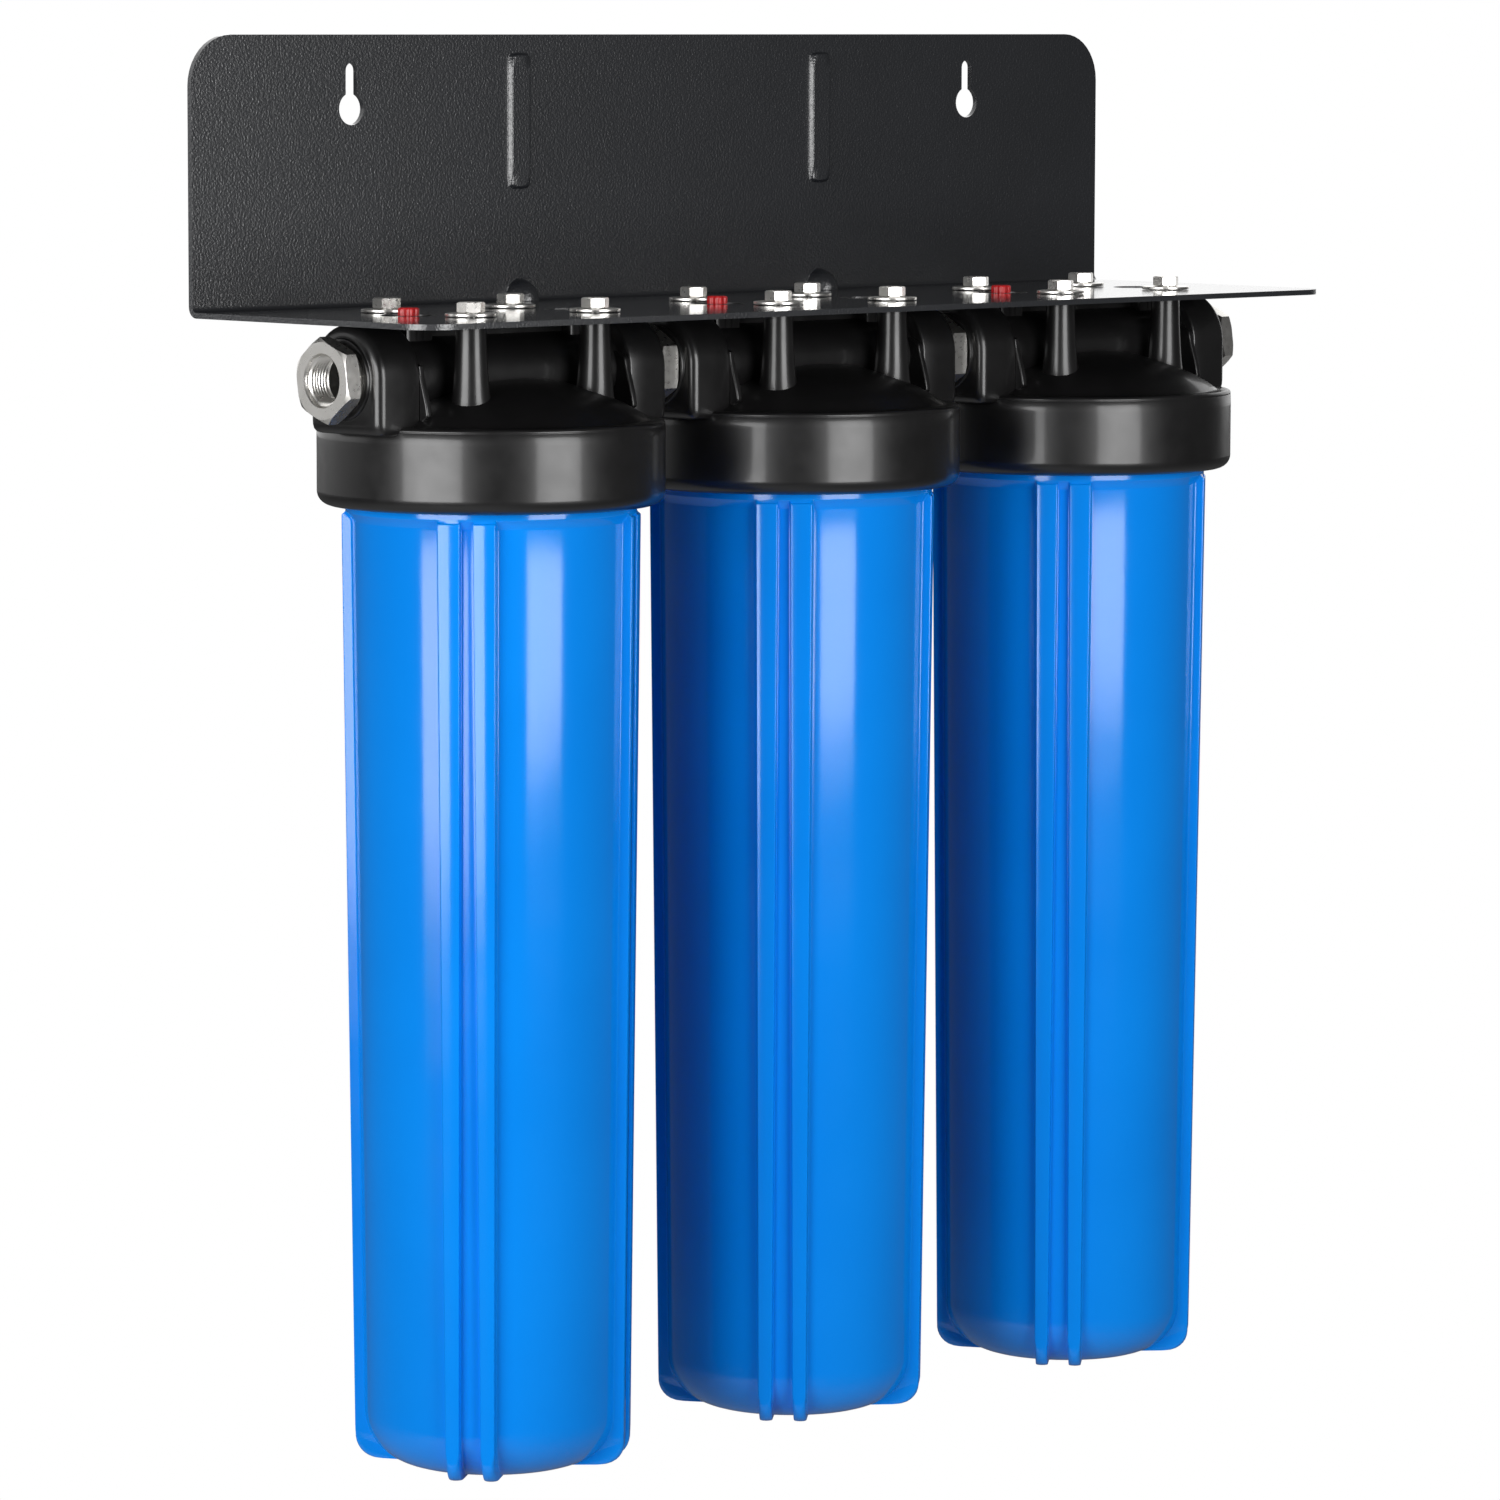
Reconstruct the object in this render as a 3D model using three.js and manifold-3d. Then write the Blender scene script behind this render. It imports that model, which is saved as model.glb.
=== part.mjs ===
// Whole house water filter: three ribbed housings in series under one folded steel bracket.
// Units are millimetres. +X runs along the row, the wall is the plane Y = 0, and +Z is up.
// The origin is the middle of the bracket's back face, where the bracket meets the wall.

import * as THREE from 'three';
import { mergeVertices, toCreasedNormals } from 'three/addons/utils/BufferGeometryUtils.js';
import Module from 'manifold-3d';

const wasm = await Module();
wasm.setup();

// Gaps between pieces, and helpers of the cuts
const touchGap = 0.3; // stays between pieces that touch, so that no two solids share a face
const threadGap = 0.6; // radial play that stands for a screwed joint's thread
const slideGap = 0.6; // radial play around a piece that slides
const overrun = 2; // how far a cutting tool runs past the face that it opens
const sink = 1.5; // how deep a moulded feature is rooted in the form that carries it

// Facets
const roundSides = 24;
const insideSides = 16;
const cartridgeSides = 12;
const portSides = 12;
const smallSides = 8;
const hiddenSides = 6;
const oRingSides = 4;
const archSteps = 6;
const slotSteps = 4;
const arcSteps = 3;

// Row of stages
const stageCount = 3;
const portGap = 20; // between facing ports, bridged by a nipple
const rowBehindSkirt = 8; // wall to the back of the skirts

// Cartridge: the size that the sump is made round
const cartridgeCapRadius = 57.1;
const cartridgeCapRim = 0.8; // how far the end caps stand out from the block
const cartridgeCapHeight = 9;
const cartridgeBoreRadius = 14;
const cartridgeLength = 500;
const gasketThickness = 4;
const gasketRim = 5; // gasket's edge outside the spigot that presses on it
const gasketBoreRadius = 13;

// Sump, from its foot outwards and up
const sumpWall = 5.5;
const waterGap = 5.8; // cartridge to the wall at the sump's foot
const bodyDraft = 5.1; // how much wider the body is at its top
const bodyShoulderStep = 3.5;
const bodyShoulderSlope = 3; // height of the slope from shoulder to body
const shoulderHeight = 6; // shows below the skirt
const shoulderCover = 1; // hidden in the skirt
const neckStep = 6; // shoulder to the skirt's bore
const neckSlope = 4;
const bottomDomeRise = 2;
const bottomCornerRadius = 28;
const lowerSpigotHeight = 24.3;
const ribPairs = 4;
const ribPairSpacing = 17;
const ribThickness = 8;
const ribProud = 4.1;
const finLift = 1.2; // fins end this far above the bottom's middle
const finCornerRadius = 11;
const finInnerRadius = 20; // inner end of the fins, sunk in the bottom
const ribTurn = 41; // degrees from +X to a pair of ribs, when the sump is tight
const oRingInset = 4.7; // neck's outside to the middle of the ring
const oRingSectionRadius = 2.4;

// Head
const skirtWall = 9;
const skirtHeight = 44;
const skirtTopDrop = 54; // shelf's underside to the skirt's top
const skirtTopRound = 4;
const skirtFootRound = 6.5;
const skirtLedge = 4; // flat ring between the skirt's rounding and the dome
const domeRise = 24;
const rimSeatDepth = 8; // skirt's top to the seat of the sump's rim
const rimSeatWidth = 13;
const chamberDepth = 3; // skirt's top to the foot of the ceiling's slope
const ceilingSlope = 16; // width of that slope
const ceilingHeight = 6.5; // ceiling above the skirt's top
const spigotWall = 6;
const spigotDraft = 4;
const spigotLength = 10; // below the rim's seat
const outletBoreRadius = 11;
const passageRadius = 12;
const pipeWall = 9; // of the cross pipe from port to port
const inletDropRadius = 9;
const bossWall = 7.1; // port's bore to the boss's side
const bossArchRise = 4; // the arch's centre above the port's
const bossTopGap = 2.5; // boss's arch to the shelf
const bossProud = 7; // boss's face in front of the skirt
const bossDepth = 25;
const bossFootSink = 3.5;
const bossRound = 5;
const collarWall = 4.6;
const collarHeight = 2;
const webThickness = 3; // flared web behind each boss
const webFootFlare = 8;
const spineThickness = 5; // upright rib on the cross pipe, up to the shelf
const postWall = 3.4;
const postDraft = 1.7;
const postFootCover = 2.5; // plastic left between a post's root and the chamber

// Ports and hex fittings: one inch pipe outside, three quarter inch inside the bushings
const portBoreRadius = 16.9;
const screwInDepth = 15; // how far a fitting's thread is screwed in
const portRunout = 10; // bore left behind the fitting
const exposedThread = 6.4; // thread left showing between hex and port
const fittingWall = 4.1;
const hexShoulder = 3.45; // thread's outside to the hex's flats
const hexChamfer = 2.6; // how much the hex's corners are turned off
const bushingHexLength = 9.4;
const bushingThreadStep = 2.2; // inner thread's mouth outside the throat
const bushingThreadDepth = 17;
const bushingMouthChamfer = 1.4;
const nippleHexLength = 12;

// Bolts and washers
const boltSpacingX = 87.3;
const boltSpacingY = 66.7;
const boltShankRadius = 4;
const boltReach = 20; // how far a bolt goes into its post
const boltHexAcross = 13;
const boltHexHeight = 5.5;
const boltHoleGap = 0.7; // radial play of a bolt in the shelf
const washerRadius = 13.5;
const washerThickness = 1.6;

// Relief valve
const reliefInset = 16.5; // boss's back to the valve's axis
const reliefBossRadius = 9.5;
const reliefBossDrop = 1;
const reliefPocketRadius = 5.3;
const pocketFloorWall = 2.5; // pocket's floor to the passage
const accessHoleRadius = 15;
const buttonRadius = 5.6;
const buttonProud = 2.6; // above the shelf's top
const buttonTravel = 3;
const buttonTravelSpare = 0.5;
const buttonFluteCount = 10;
const buttonFluteDepth = 0.7;
const stemRadius = 2;
const valveDiscRadius = 4.4;
const valveDiscThickness = 2;
const springWireRadius = 0.55;
const springTurns = 4;
const springStepsPerTurn = 6;
const springSides = 3;

// Bracket, one folded sheet
const sheetThickness = 3;
const plateRise = 145; // shelf top to the plate's top edge
const shelfOverhang = -3; // skirts' front to the shelf's front edge
const bracketEndMargin = 123; // last stage's axis to the bracket's end
const foldRadius = 3; // inside radius of the fold
const plateCornerRadius = 27;
const shelfCornerRadius = 20;
const keyholeInset = 110; // bracket's end to the keyhole
const keyholeTopInset = 39.5; // plate's top to the middle of the big hole
const keyholeRadius = 8.6;
const keyholeSlotWidth = 7.8;
const keyholeSlotRise = 20.5; // middle of the big hole to the middle of the slot's round end
const pressedRibShift = 4; // outwards from halfway between two stages
const pressedRibWidth = 16;
const pressedRibLength = 74;
const pressedRibHeight = 2.4;
const pressedRibTopInset = 47; // plate's top to the rib's middle
const pressedRibDraft = 1.6; // the rib's sides lean in by this much
const gussetReach = 16;
const gussetWidth = 10;
const gussetWall = 2.5;

// Shares along the dome, from its rim to its middle: share of the radius, share of the rise
const domeShares = [[1, 0], [0.86, 0.34], [0.5, 0.8], [0, 1]];

// Radii that follow, from the cartridge outwards
const bodyFootRadius = cartridgeCapRadius + waterGap + sumpWall;
const bodyTopRadius = bodyFootRadius + bodyDraft;
const shoulderRadius = bodyTopRadius + bodyShoulderStep;
const skirtBore = shoulderRadius + neckStep;
const skirtRadius = skirtBore + skirtWall;
// A faceted bore's flats are nearer the axis than its corners, and the sump's neck turns inside it
const neckRadius = skirtBore * Math.cos(Math.PI / roundSides) - threadGap;
const oRingRadius = neckRadius - oRingInset;
const domeRadius = skirtRadius - skirtTopRound - skirtLedge;
const chamberRadius = skirtBore - rimSeatWidth;
const ceilingRadius = chamberRadius - ceilingSlope;
const spigotRadius = outletBoreRadius + spigotWall;
const gasketRadius = spigotRadius + gasketRim;
const pipeRadius = passageRadius + pipeWall;
const bossHalfWidth = portBoreRadius + bossWall;
const collarRadius = portBoreRadius + collarWall;
const postTopRadius = boltShankRadius + threadGap + postWall;
const postFootRadius = postTopRadius + postDraft;
const fittingRadius = portBoreRadius - threadGap;
const fittingBoreRadius = fittingRadius - fittingWall;
const bushingThreadRadius = fittingBoreRadius + bushingThreadStep;
const hexAcross = 2 * (fittingRadius + hexShoulder);

// Places along the row and out from the wall that follow
const bossOuter = skirtRadius + bossProud;
const bossInner = bossOuter - bossDepth;
const portFace = bossOuter + collarHeight;
const reliefOffset = bossInner - reliefInset;
const stagePitch = 2 * portFace + portGap;
const bracketHalf = (stageCount - 1) * stagePitch / 2 + bracketEndMargin;
const rowFromWall = rowBehindSkirt + skirtRadius;
const shelfDepth = rowFromWall + skirtRadius + shelfOverhang;

// Drops below the shelf's underside that follow
const portDrop = bossHalfWidth + bossArchRise + bossTopGap;
const bossFootDrop = skirtTopDrop + bossFootSink;
const ceilingDrop = skirtTopDrop - ceilingHeight;
const chamberDrop = skirtTopDrop + chamberDepth;
const rimSeatDrop = skirtTopDrop + rimSeatDepth;
const skirtFootDrop = skirtTopDrop + skirtHeight;
const spigotDrop = rimSeatDrop + spigotLength;
const postFootDrop = ceilingDrop - postFootCover;
const rimTopDrop = rimSeatDrop + touchGap;
const shoulderTopDrop = skirtFootDrop - shoulderCover;
const neckFootDrop = shoulderTopDrop - neckSlope;
const shoulderFootDrop = skirtFootDrop + shoulderHeight;
const bodyTopDrop = shoulderFootDrop + bodyShoulderSlope;
const gasketDrop = spigotDrop + touchGap;
const cartridgeDrop = gasketDrop + gasketThickness + touchGap;
const lowerGasketDrop = cartridgeDrop + cartridgeLength + touchGap;
const lowerSpigotDrop = lowerGasketDrop + gasketThickness + touchGap;
const bottomDrop = lowerSpigotDrop + lowerSpigotHeight + sumpWall;
const finDrop = bottomDrop - finLift;

// The valve's disc closes on the passage's roof, which is lower over the disc's edge than over its middle
const passageRoof = Math.sqrt(passageRadius ** 2 - valveDiscRadius ** 2) * Math.cos(Math.PI / smallSides);
const valveDiscDrop = portDrop - passageRoof + touchGap;
const pocketDrop = portDrop - passageRadius - pocketFloorWall;
const buttonUnder = -reliefBossDrop + buttonTravel + buttonTravelSpare;

// Heights in the bracket's frame that follow
const shelfTop = -plateRise / 2;
const shelfUnder = shelfTop - sheetThickness;
const plateTop = shelfTop + plateRise;

// Materials
function material(color, roughness, metalness) {
  return new THREE.MeshStandardMaterial({ color, roughness, metalness });
}

const powderCoat = material(0x1b1c1f, 0.5, 0.1);
const blackPlastic = material(0x17171a, 0.38, 0);
const bluePlastic = material(0x0a78e6, 0.18, 0);
const redPlastic = material(0xd8202a, 0.35, 0);
const stainless = material(0xcfcac2, 0.25, 1);
const springSteel = material(0xa9abb0, 0.3, 1);
const blackRubber = material(0x101012, 0.75, 0);
const filterBlock = material(0xefeee8, 0.9, 0);

// Turns a geometry into a solid that can be cut and joined.
function solid(geometry) {
  const loose = geometry.index ? geometry.toNonIndexed() : geometry;
  const bare = new THREE.BufferGeometry().setAttribute('position', loose.getAttribute('position'));
  const merged = mergeVertices(bare);
  const position = merged.getAttribute('position');
  const corners = [new THREE.Vector3(), new THREE.Vector3(), new THREE.Vector3()];
  const triangles = [];
  let volume = 0;
  for (let i = 0; i < merged.index.count; i += 3) {
    const [a, b, c] = [0, 1, 2].map((k) => merged.index.getX(i + k));
    if (a === b || b === c || c === a) continue;
    triangles.push([a, b, c]);
    [a, b, c].forEach((vertex, k) => corners[k].fromBufferAttribute(position, vertex));
    volume += corners[0].dot(corners[1].clone().cross(corners[2]));
  }
  const outward = volume > 0 ? triangles : triangles.map(([a, b, c]) => [a, c, b]);
  return new wasm.Manifold(new wasm.Mesh({
    numProp: 3,
    vertProperties: new Float32Array(position.array),
    triVerts: new Uint32Array(outward.flat()),
  }));
}

function joined(first, ...others) {
  return others.reduce((whole, other) => whole.add(other), first);
}

function cut(whole, ...tools) {
  return tools.reduce((rest, tool) => rest.subtract(tool), whole);
}

// Makes the named mesh of a finished solid, with its edges left crisp.
function piece(name, body, look) {
  const { vertProperties, triVerts } = body.getMesh();
  const geometry = new THREE.BufferGeometry();
  geometry.setAttribute('position', new THREE.BufferAttribute(vertProperties, 3));
  geometry.setIndex(new THREE.BufferAttribute(triVerts, 1));
  const mesh = new THREE.Mesh(toCreasedNormals(geometry, Math.PI / 6), look);
  mesh.name = name;
  return mesh;
}

// Points of an arc, as pairs, from one angle to another in quarter turns.
function arc(centreA, centreB, radius, startQuarters, endQuarters, steps = arcSteps) {
  return Array.from({ length: steps + 1 }, (_, i) => {
    const angle = (startQuarters + (endQuarters - startQuarters) * i / steps) * Math.PI / 2;
    return [centreA + radius * Math.cos(angle), centreB + radius * Math.sin(angle)];
  });
}

// Outline from pairs of coordinates.
function outline(pairs) {
  return new THREE.Shape(pairs.map(([a, b]) => new THREE.Vector2(a, b)));
}

// Solid of revolution about Z. The profile's pairs are radius and height.
function revolved(profile, sides = roundSides) {
  const points = profile.map(([radius, height]) => new THREE.Vector2(radius, height));
  return solid(new THREE.LatheGeometry(points, sides).rotateX(Math.PI / 2));
}

// Upright round bar or cone between two heights.
function uprightBar(x, y, lowRadius, highRadius, low, high, sides = smallSides) {
  const bar = new THREE.CylinderGeometry(highRadius, lowRadius, high - low, sides);
  return solid(bar.rotateX(Math.PI / 2).translate(x, y, (low + high) / 2));
}

// Round bar along X between two places.
function barAlongX(z, radius, from, to, sides = portSides) {
  const bar = new THREE.CylinderGeometry(radius, radius, Math.abs(to - from), sides);
  return solid(bar.rotateZ(Math.PI / 2).translate((from + to) / 2, 0, z));
}

function block(low, high) {
  const size = high.map((value, k) => value - low[k]);
  const middle = high.map((value, k) => (value + low[k]) / 2);
  return solid(new THREE.BoxGeometry(...size).translate(...middle));
}

const turnToX = new THREE.Matrix4().makeBasis(
  new THREE.Vector3(0, 1, 0), new THREE.Vector3(0, 0, 1), new THREE.Vector3(1, 0, 0));
const turnToFront = new THREE.Matrix4().makeBasis(
  new THREE.Vector3(1, 0, 0), new THREE.Vector3(0, 0, 1), new THREE.Vector3(0, -1, 0));

// Extrusion along X of an outline in Y and Z.
function extrudedAlongX(shape, from, to, curveSegments = arcSteps) {
  const bar = new THREE.ExtrudeGeometry(shape, { depth: to - from, bevelEnabled: false, curveSegments });
  return solid(bar.applyMatrix4(turnToX).translate(from, 0, 0));
}

// Extrusion from the wall towards the front of an outline in X and Z.
function extrudedToFront(shape, from, depth, curveSegments = arcSteps) {
  const bar = new THREE.ExtrudeGeometry(shape, { depth, bevelEnabled: false, curveSegments });
  return solid(bar.applyMatrix4(turnToFront).translate(0, -from, 0));
}

// Hexagonal bar along X with its corners turned off at both ends.
function hexAlongX(z, across, from, to) {
  const cornerRadius = across / Math.sqrt(3);
  const middle = (from + to) / 2;
  const half = Math.abs(to - from) / 2;
  const bar = new THREE.CylinderGeometry(cornerRadius, cornerRadius, 2 * half, 6);
  const turned = revolved([
    [0, -half],
    [cornerRadius - hexChamfer, -half],
    [cornerRadius, -half + hexChamfer / 2],
    [cornerRadius, half - hexChamfer / 2],
    [cornerRadius - hexChamfer, half],
    [0, half],
  ], 2 * 6);
  const limit = solid(meshOf(turned).rotateY(Math.PI / 2).translate(middle, 0, z));
  return solid(bar.rotateZ(Math.PI / 2).translate(middle, 0, z)).intersect(limit);
}

// Geometry of a solid, for another turn or shift.
function meshOf(body) {
  const { vertProperties, triVerts } = body.getMesh();
  const geometry = new THREE.BufferGeometry();
  geometry.setAttribute('position', new THREE.BufferAttribute(vertProperties, 3));
  return geometry.setIndex(new THREE.BufferAttribute(triVerts, 1));
}

// Bracket

function stageX(stage) {
  return (stage - (stageCount - 1) / 2) * stagePitch;
}

function boltPlaces() {
  const places = [];
  for (const back of [-1, 1]) {
    for (const right of [-1, 1]) places.push([right * boltSpacingX / 2, back * boltSpacingY / 2]);
  }
  return places;
}

// The sheet's section in Y and Z: up the wall, round the fold and out along the shelf.
function sheetSection() {
  const outer = foldRadius + sheetThickness;
  return outline([
    [0, plateTop],
    ...arc(-outer, shelfUnder + outer, outer, 0, -1),
    [-shelfDepth, shelfUnder],
    [-shelfDepth, shelfTop],
    ...arc(-outer, shelfUnder + outer, foldRadius, -1, 0),
    [-sheetThickness, plateTop],
  ]);
}

// A rectangle with its two corners at the far end rounded.
function roundedEnd(halfWidth, near, far, radius) {
  const turn = Math.sign(far - near);
  return outline([
    [-halfWidth, near],
    ...arc(-halfWidth + radius, far - turn * radius, radius, 2, 2 - turn),
    ...arc(halfWidth - radius, far - turn * radius, radius, turn, 0),
    [halfWidth, near],
  ]);
}

// A slot with round ends, upright in X and Z.
function uprightSlot(x, z, width, length) {
  const radius = width / 2;
  const reach = length / 2 - radius;
  return outline([
    ...arc(x, z + reach, radius, 0, 2, slotSteps),
    ...arc(x, z - reach, radius, 2, 4, slotSteps),
  ]);
}

function keyhole(x) {
  const z = plateTop - keyholeTopInset;
  const hole = outline(arc(x, z, keyholeRadius, 0, 4, portSides).slice(1));
  const slot = uprightSlot(x, z + keyholeSlotRise / 2, keyholeSlotWidth, keyholeSlotRise + keyholeSlotWidth);
  return [hole, slot].map((shape) => extrudedToFront(shape, -overrun, sheetThickness + 2 * overrun));
}

// A rib pressed forward out of the plate: its front is drawn in, and its back is hollow.
function pressedRib(x) {
  const z = plateTop - pressedRibTopInset;
  const draft = {
    depth: pressedRibHeight + sink,
    bevelEnabled: true,
    bevelThickness: pressedRibDraft,
    bevelSize: pressedRibDraft,
    bevelOffset: -pressedRibDraft,
    bevelSegments: 1,
  };
  const shape = uprightSlot(x, z, pressedRibWidth, pressedRibLength);
  const ridge = new THREE.ExtrudeGeometry(shape, { ...draft, depth: draft.depth - 2 * pressedRibDraft + sink });
  const front = -sheetThickness - pressedRibHeight + draft.depth + sink;
  const raised = solid(ridge.applyMatrix4(turnToFront).translate(0, front - pressedRibDraft, 0));
  const hollowWidth = pressedRibWidth - 2 * pressedRibDraft;
  const hollowLength = pressedRibLength - 2 * pressedRibDraft;
  const hollow = uprightSlot(x, z, hollowWidth, hollowLength);
  return { raised, hollow: extrudedToFront(hollow, -overrun, pressedRibHeight + overrun) };
}

// A gusset pressed into the fold: a sloping ridge in front, and a dimple behind it.
function gusset(x) {
  const reach = gussetReach;
  const ridge = outline([
    [-sheetThickness + sink, shelfTop - sink],
    [-sheetThickness + sink, shelfTop + reach + sink],
    [-sheetThickness - reach - sink, shelfTop - sink],
  ]);
  const dimpleReach = reach + 2 * sheetThickness - Math.SQRT2 * sheetThickness;
  const dimple = outline([
    [overrun, shelfUnder - overrun],
    [overrun, shelfUnder + dimpleReach + overrun],
    [-dimpleReach - overrun, shelfUnder - overrun],
  ]);
  const wide = gussetWidth / 2;
  const narrow = wide - gussetWall;
  return {
    ridge: extrudedAlongX(ridge, x - wide, x + wide),
    dimple: extrudedAlongX(dimple, x - narrow, x + narrow),
  };
}

function bracket() {
  const half = bracketHalf;
  const front = roundedEnd(half, shelfUnder - overrun, plateTop, plateCornerRadius);
  const above = roundedEnd(half, overrun, -shelfDepth, shelfCornerRadius);
  const abovePlan = new THREE.ExtrudeGeometry(above, { depth: plateRise + 4 * overrun, bevelEnabled: false });
  let body = extrudedAlongX(sheetSection(), -half, half)
    .intersect(extrudedToFront(front, -overrun, shelfDepth + 2 * overrun))
    .intersect(solid(abovePlan.translate(0, 0, shelfUnder - overrun)));
  for (const side of [-1, 1]) {
    const ribPlace = side * (stagePitch / 2 + pressedRibShift);
    const rib = pressedRib(ribPlace);
    const fold = gusset(ribPlace);
    body = joined(body, rib.raised, fold.ridge);
    body = cut(body, rib.hollow, fold.dimple, ...keyhole(side * (half - keyholeInset)));
  }
  const low = shelfUnder - overrun;
  const high = shelfTop + overrun;
  const boltHole = boltShankRadius + boltHoleGap;
  for (let stage = 0; stage < stageCount; stage += 1) {
    const x = stageX(stage);
    for (const [dx, dy] of boltPlaces()) {
      body = cut(body, uprightBar(x + dx, dy - rowFromWall, boltHole, boltHole, low, high, hiddenSides));
    }
    for (const side of [-1, 1]) {
      const hole = [x + side * reliefOffset, -rowFromWall, accessHoleRadius, accessHoleRadius, low, high];
      body = cut(body, uprightBar(...hole, portSides));
    }
  }
  return piece('bracket', body, powderCoat);
}

// Head

// The revolved form: dome, skirt, chamber and the spigot that seals on the cartridge.
function headBell() {
  const dome = domeShares.map(([out, up]) => [out * domeRadius, -skirtTopDrop + up * domeRise]);
  return revolved([
    ...dome.reverse(),
    ...arc(skirtRadius - skirtTopRound, -skirtTopDrop - skirtTopRound, skirtTopRound, 1, 0, 2),
    ...arc(skirtRadius - skirtFootRound, -skirtFootDrop + skirtFootRound, skirtFootRound, 0, -1, 2),
    [skirtBore, -skirtFootDrop],
    [skirtBore, -rimSeatDrop],
    [chamberRadius, -rimSeatDrop],
    [chamberRadius, -chamberDrop],
    [ceilingRadius, -ceilingDrop],
    [spigotRadius + spigotDraft, -ceilingDrop],
    [spigotRadius, -spigotDrop],
    [0, -spigotDrop],
  ]);
}

// A port boss: an arched block with softened edges, its raised collar and the flared web behind it.
function portBoss(side) {
  const arch = outline([
    [bossHalfWidth, -bossFootDrop],
    ...arc(0, -portDrop + bossArchRise, bossHalfWidth, 0, 2, archSteps),
    [-bossHalfWidth, -bossFootDrop],
  ]);
  const flare = outline([
    [bossHalfWidth + webFootFlare, -bossFootDrop],
    [bossHalfWidth, -portDrop],
    [-bossHalfWidth, -portDrop],
    [-bossHalfWidth - webFootFlare, -bossFootDrop],
  ]);
  const softened = new THREE.ExtrudeGeometry(arch, {
    depth: bossOuter - bossInner,
    bevelEnabled: true,
    bevelThickness: bossRound,
    bevelSize: bossRound,
    bevelOffset: -bossRound,
    bevelSegments: 2,
  });
  softened.applyMatrix4(turnToX).translate(bossInner - bossRound, 0, 0);
  const limits = [bossHalfWidth + overrun, bossFootDrop + overrun];
  const trimmed = solid(softened)
    .intersect(block([bossInner, -limits[0], -limits[1]], [bossOuter + overrun, limits[0], 0]));
  const web = extrudedAlongX(flare, bossInner - webThickness, bossInner + sink);
  const collar = barAlongX(-portDrop, collarRadius, bossOuter - bossRound, portFace);
  const boss = joined(trimmed, web, collar);
  if (side > 0) return boss;
  return solid(meshOf(boss).rotateZ(Math.PI));
}

function head(stage) {
  let body = joined(headBell(), portBoss(-1), portBoss(1));
  body = joined(body, barAlongX(-portDrop, pipeRadius, -bossInner - sink, bossInner + sink));
  for (const [x, y] of boltPlaces()) {
    body = joined(body, uprightBar(x, y, postFootRadius, postTopRadius, -postFootDrop, -touchGap));
    const pilot = boltShankRadius + threadGap;
    body = cut(body, uprightBar(x, y, pilot, pilot, -boltReach - overrun, overrun, hiddenSides));
  }
  const pipeTop = -portDrop + passageRadius + sink;
  const spineReach = bossOuter - bossRound;
  const spineHalf = spineThickness / 2;
  body = joined(body, block([-spineReach, -spineHalf, pipeTop], [spineReach, spineHalf, -touchGap]));
  for (const side of [-1, 1]) {
    const place = [side * reliefOffset, 0, reliefBossRadius, reliefBossRadius];
    body = cut(body, uprightBar(...place, -reliefBossDrop, overrun));
    body = joined(body, uprightBar(...place, pipeTop, -reliefBossDrop));
  }

  // Water's way: in on the left and down outside the cartridge, up its middle and out on the right
  const boreEnd = portFace - screwInDepth - portRunout;
  body = cut(
    body,
    barAlongX(-portDrop, portBoreRadius, -portFace - overrun, -boreEnd),
    barAlongX(-portDrop, passageRadius, -boreEnd - overrun, -reliefOffset + inletDropRadius, smallSides),
    uprightBar(-reliefOffset, 0, inletDropRadius, inletDropRadius, -chamberDrop - overrun, -portDrop),
    barAlongX(-portDrop, portBoreRadius, boreEnd, portFace + overrun),
    barAlongX(-portDrop, passageRadius, 0, boreEnd + overrun, smallSides),
    uprightBar(0, 0, outletBoreRadius, outletBoreRadius, -spigotDrop - overrun, -portDrop),
  );

  // Relief valve's pocket and stem hole
  const stemHole = stemRadius + slideGap;
  body = cut(
    body,
    uprightBar(-reliefOffset, 0, reliefPocketRadius, reliefPocketRadius, -pocketDrop, overrun),
    uprightBar(-reliefOffset, 0, stemHole, stemHole, -portDrop, overrun),
  );
  return piece(`head_${stage + 1}`, body, blackPlastic);
}

// Fittings

// A threaded end with a hole through it, shown plain.
function hexFitting(name, hex, ends, bores) {
  const z = -portDrop;
  const body = joined(hex, ...ends.map(([from, to]) => barAlongX(z, fittingRadius, from, to)));
  return piece(name, cut(body, ...bores), stainless);
}

// Reducing bushing on the port at one end of the row. Its hex faces away from the row.
function bushing(name, side) {
  const z = -portDrop;
  const hexNear = side * (portFace + exposedThread);
  const hexFar = hexNear + side * bushingHexLength;
  const inner = side * (portFace - screwInDepth);
  const mouth = revolved([
    [0, 0],
    [bushingThreadRadius + bushingMouthChamfer + overrun, 0],
    [bushingThreadRadius, bushingMouthChamfer + overrun],
    [0, bushingMouthChamfer + overrun],
  ], portSides);
  const lead = meshOf(mouth).rotateY(-side * Math.PI / 2).translate(hexFar + side * overrun, 0, z);
  return hexFitting(
    name,
    hexAlongX(z, hexAcross, hexNear, hexFar),
    [[hexNear + side * sink, inner]],
    [
      barAlongX(z, bushingThreadRadius, hexFar - side * bushingThreadDepth, hexFar + side * overrun),
      barAlongX(z, fittingBoreRadius, inner - side * overrun, hexFar),
      solid(lead),
    ],
  );
}

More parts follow.
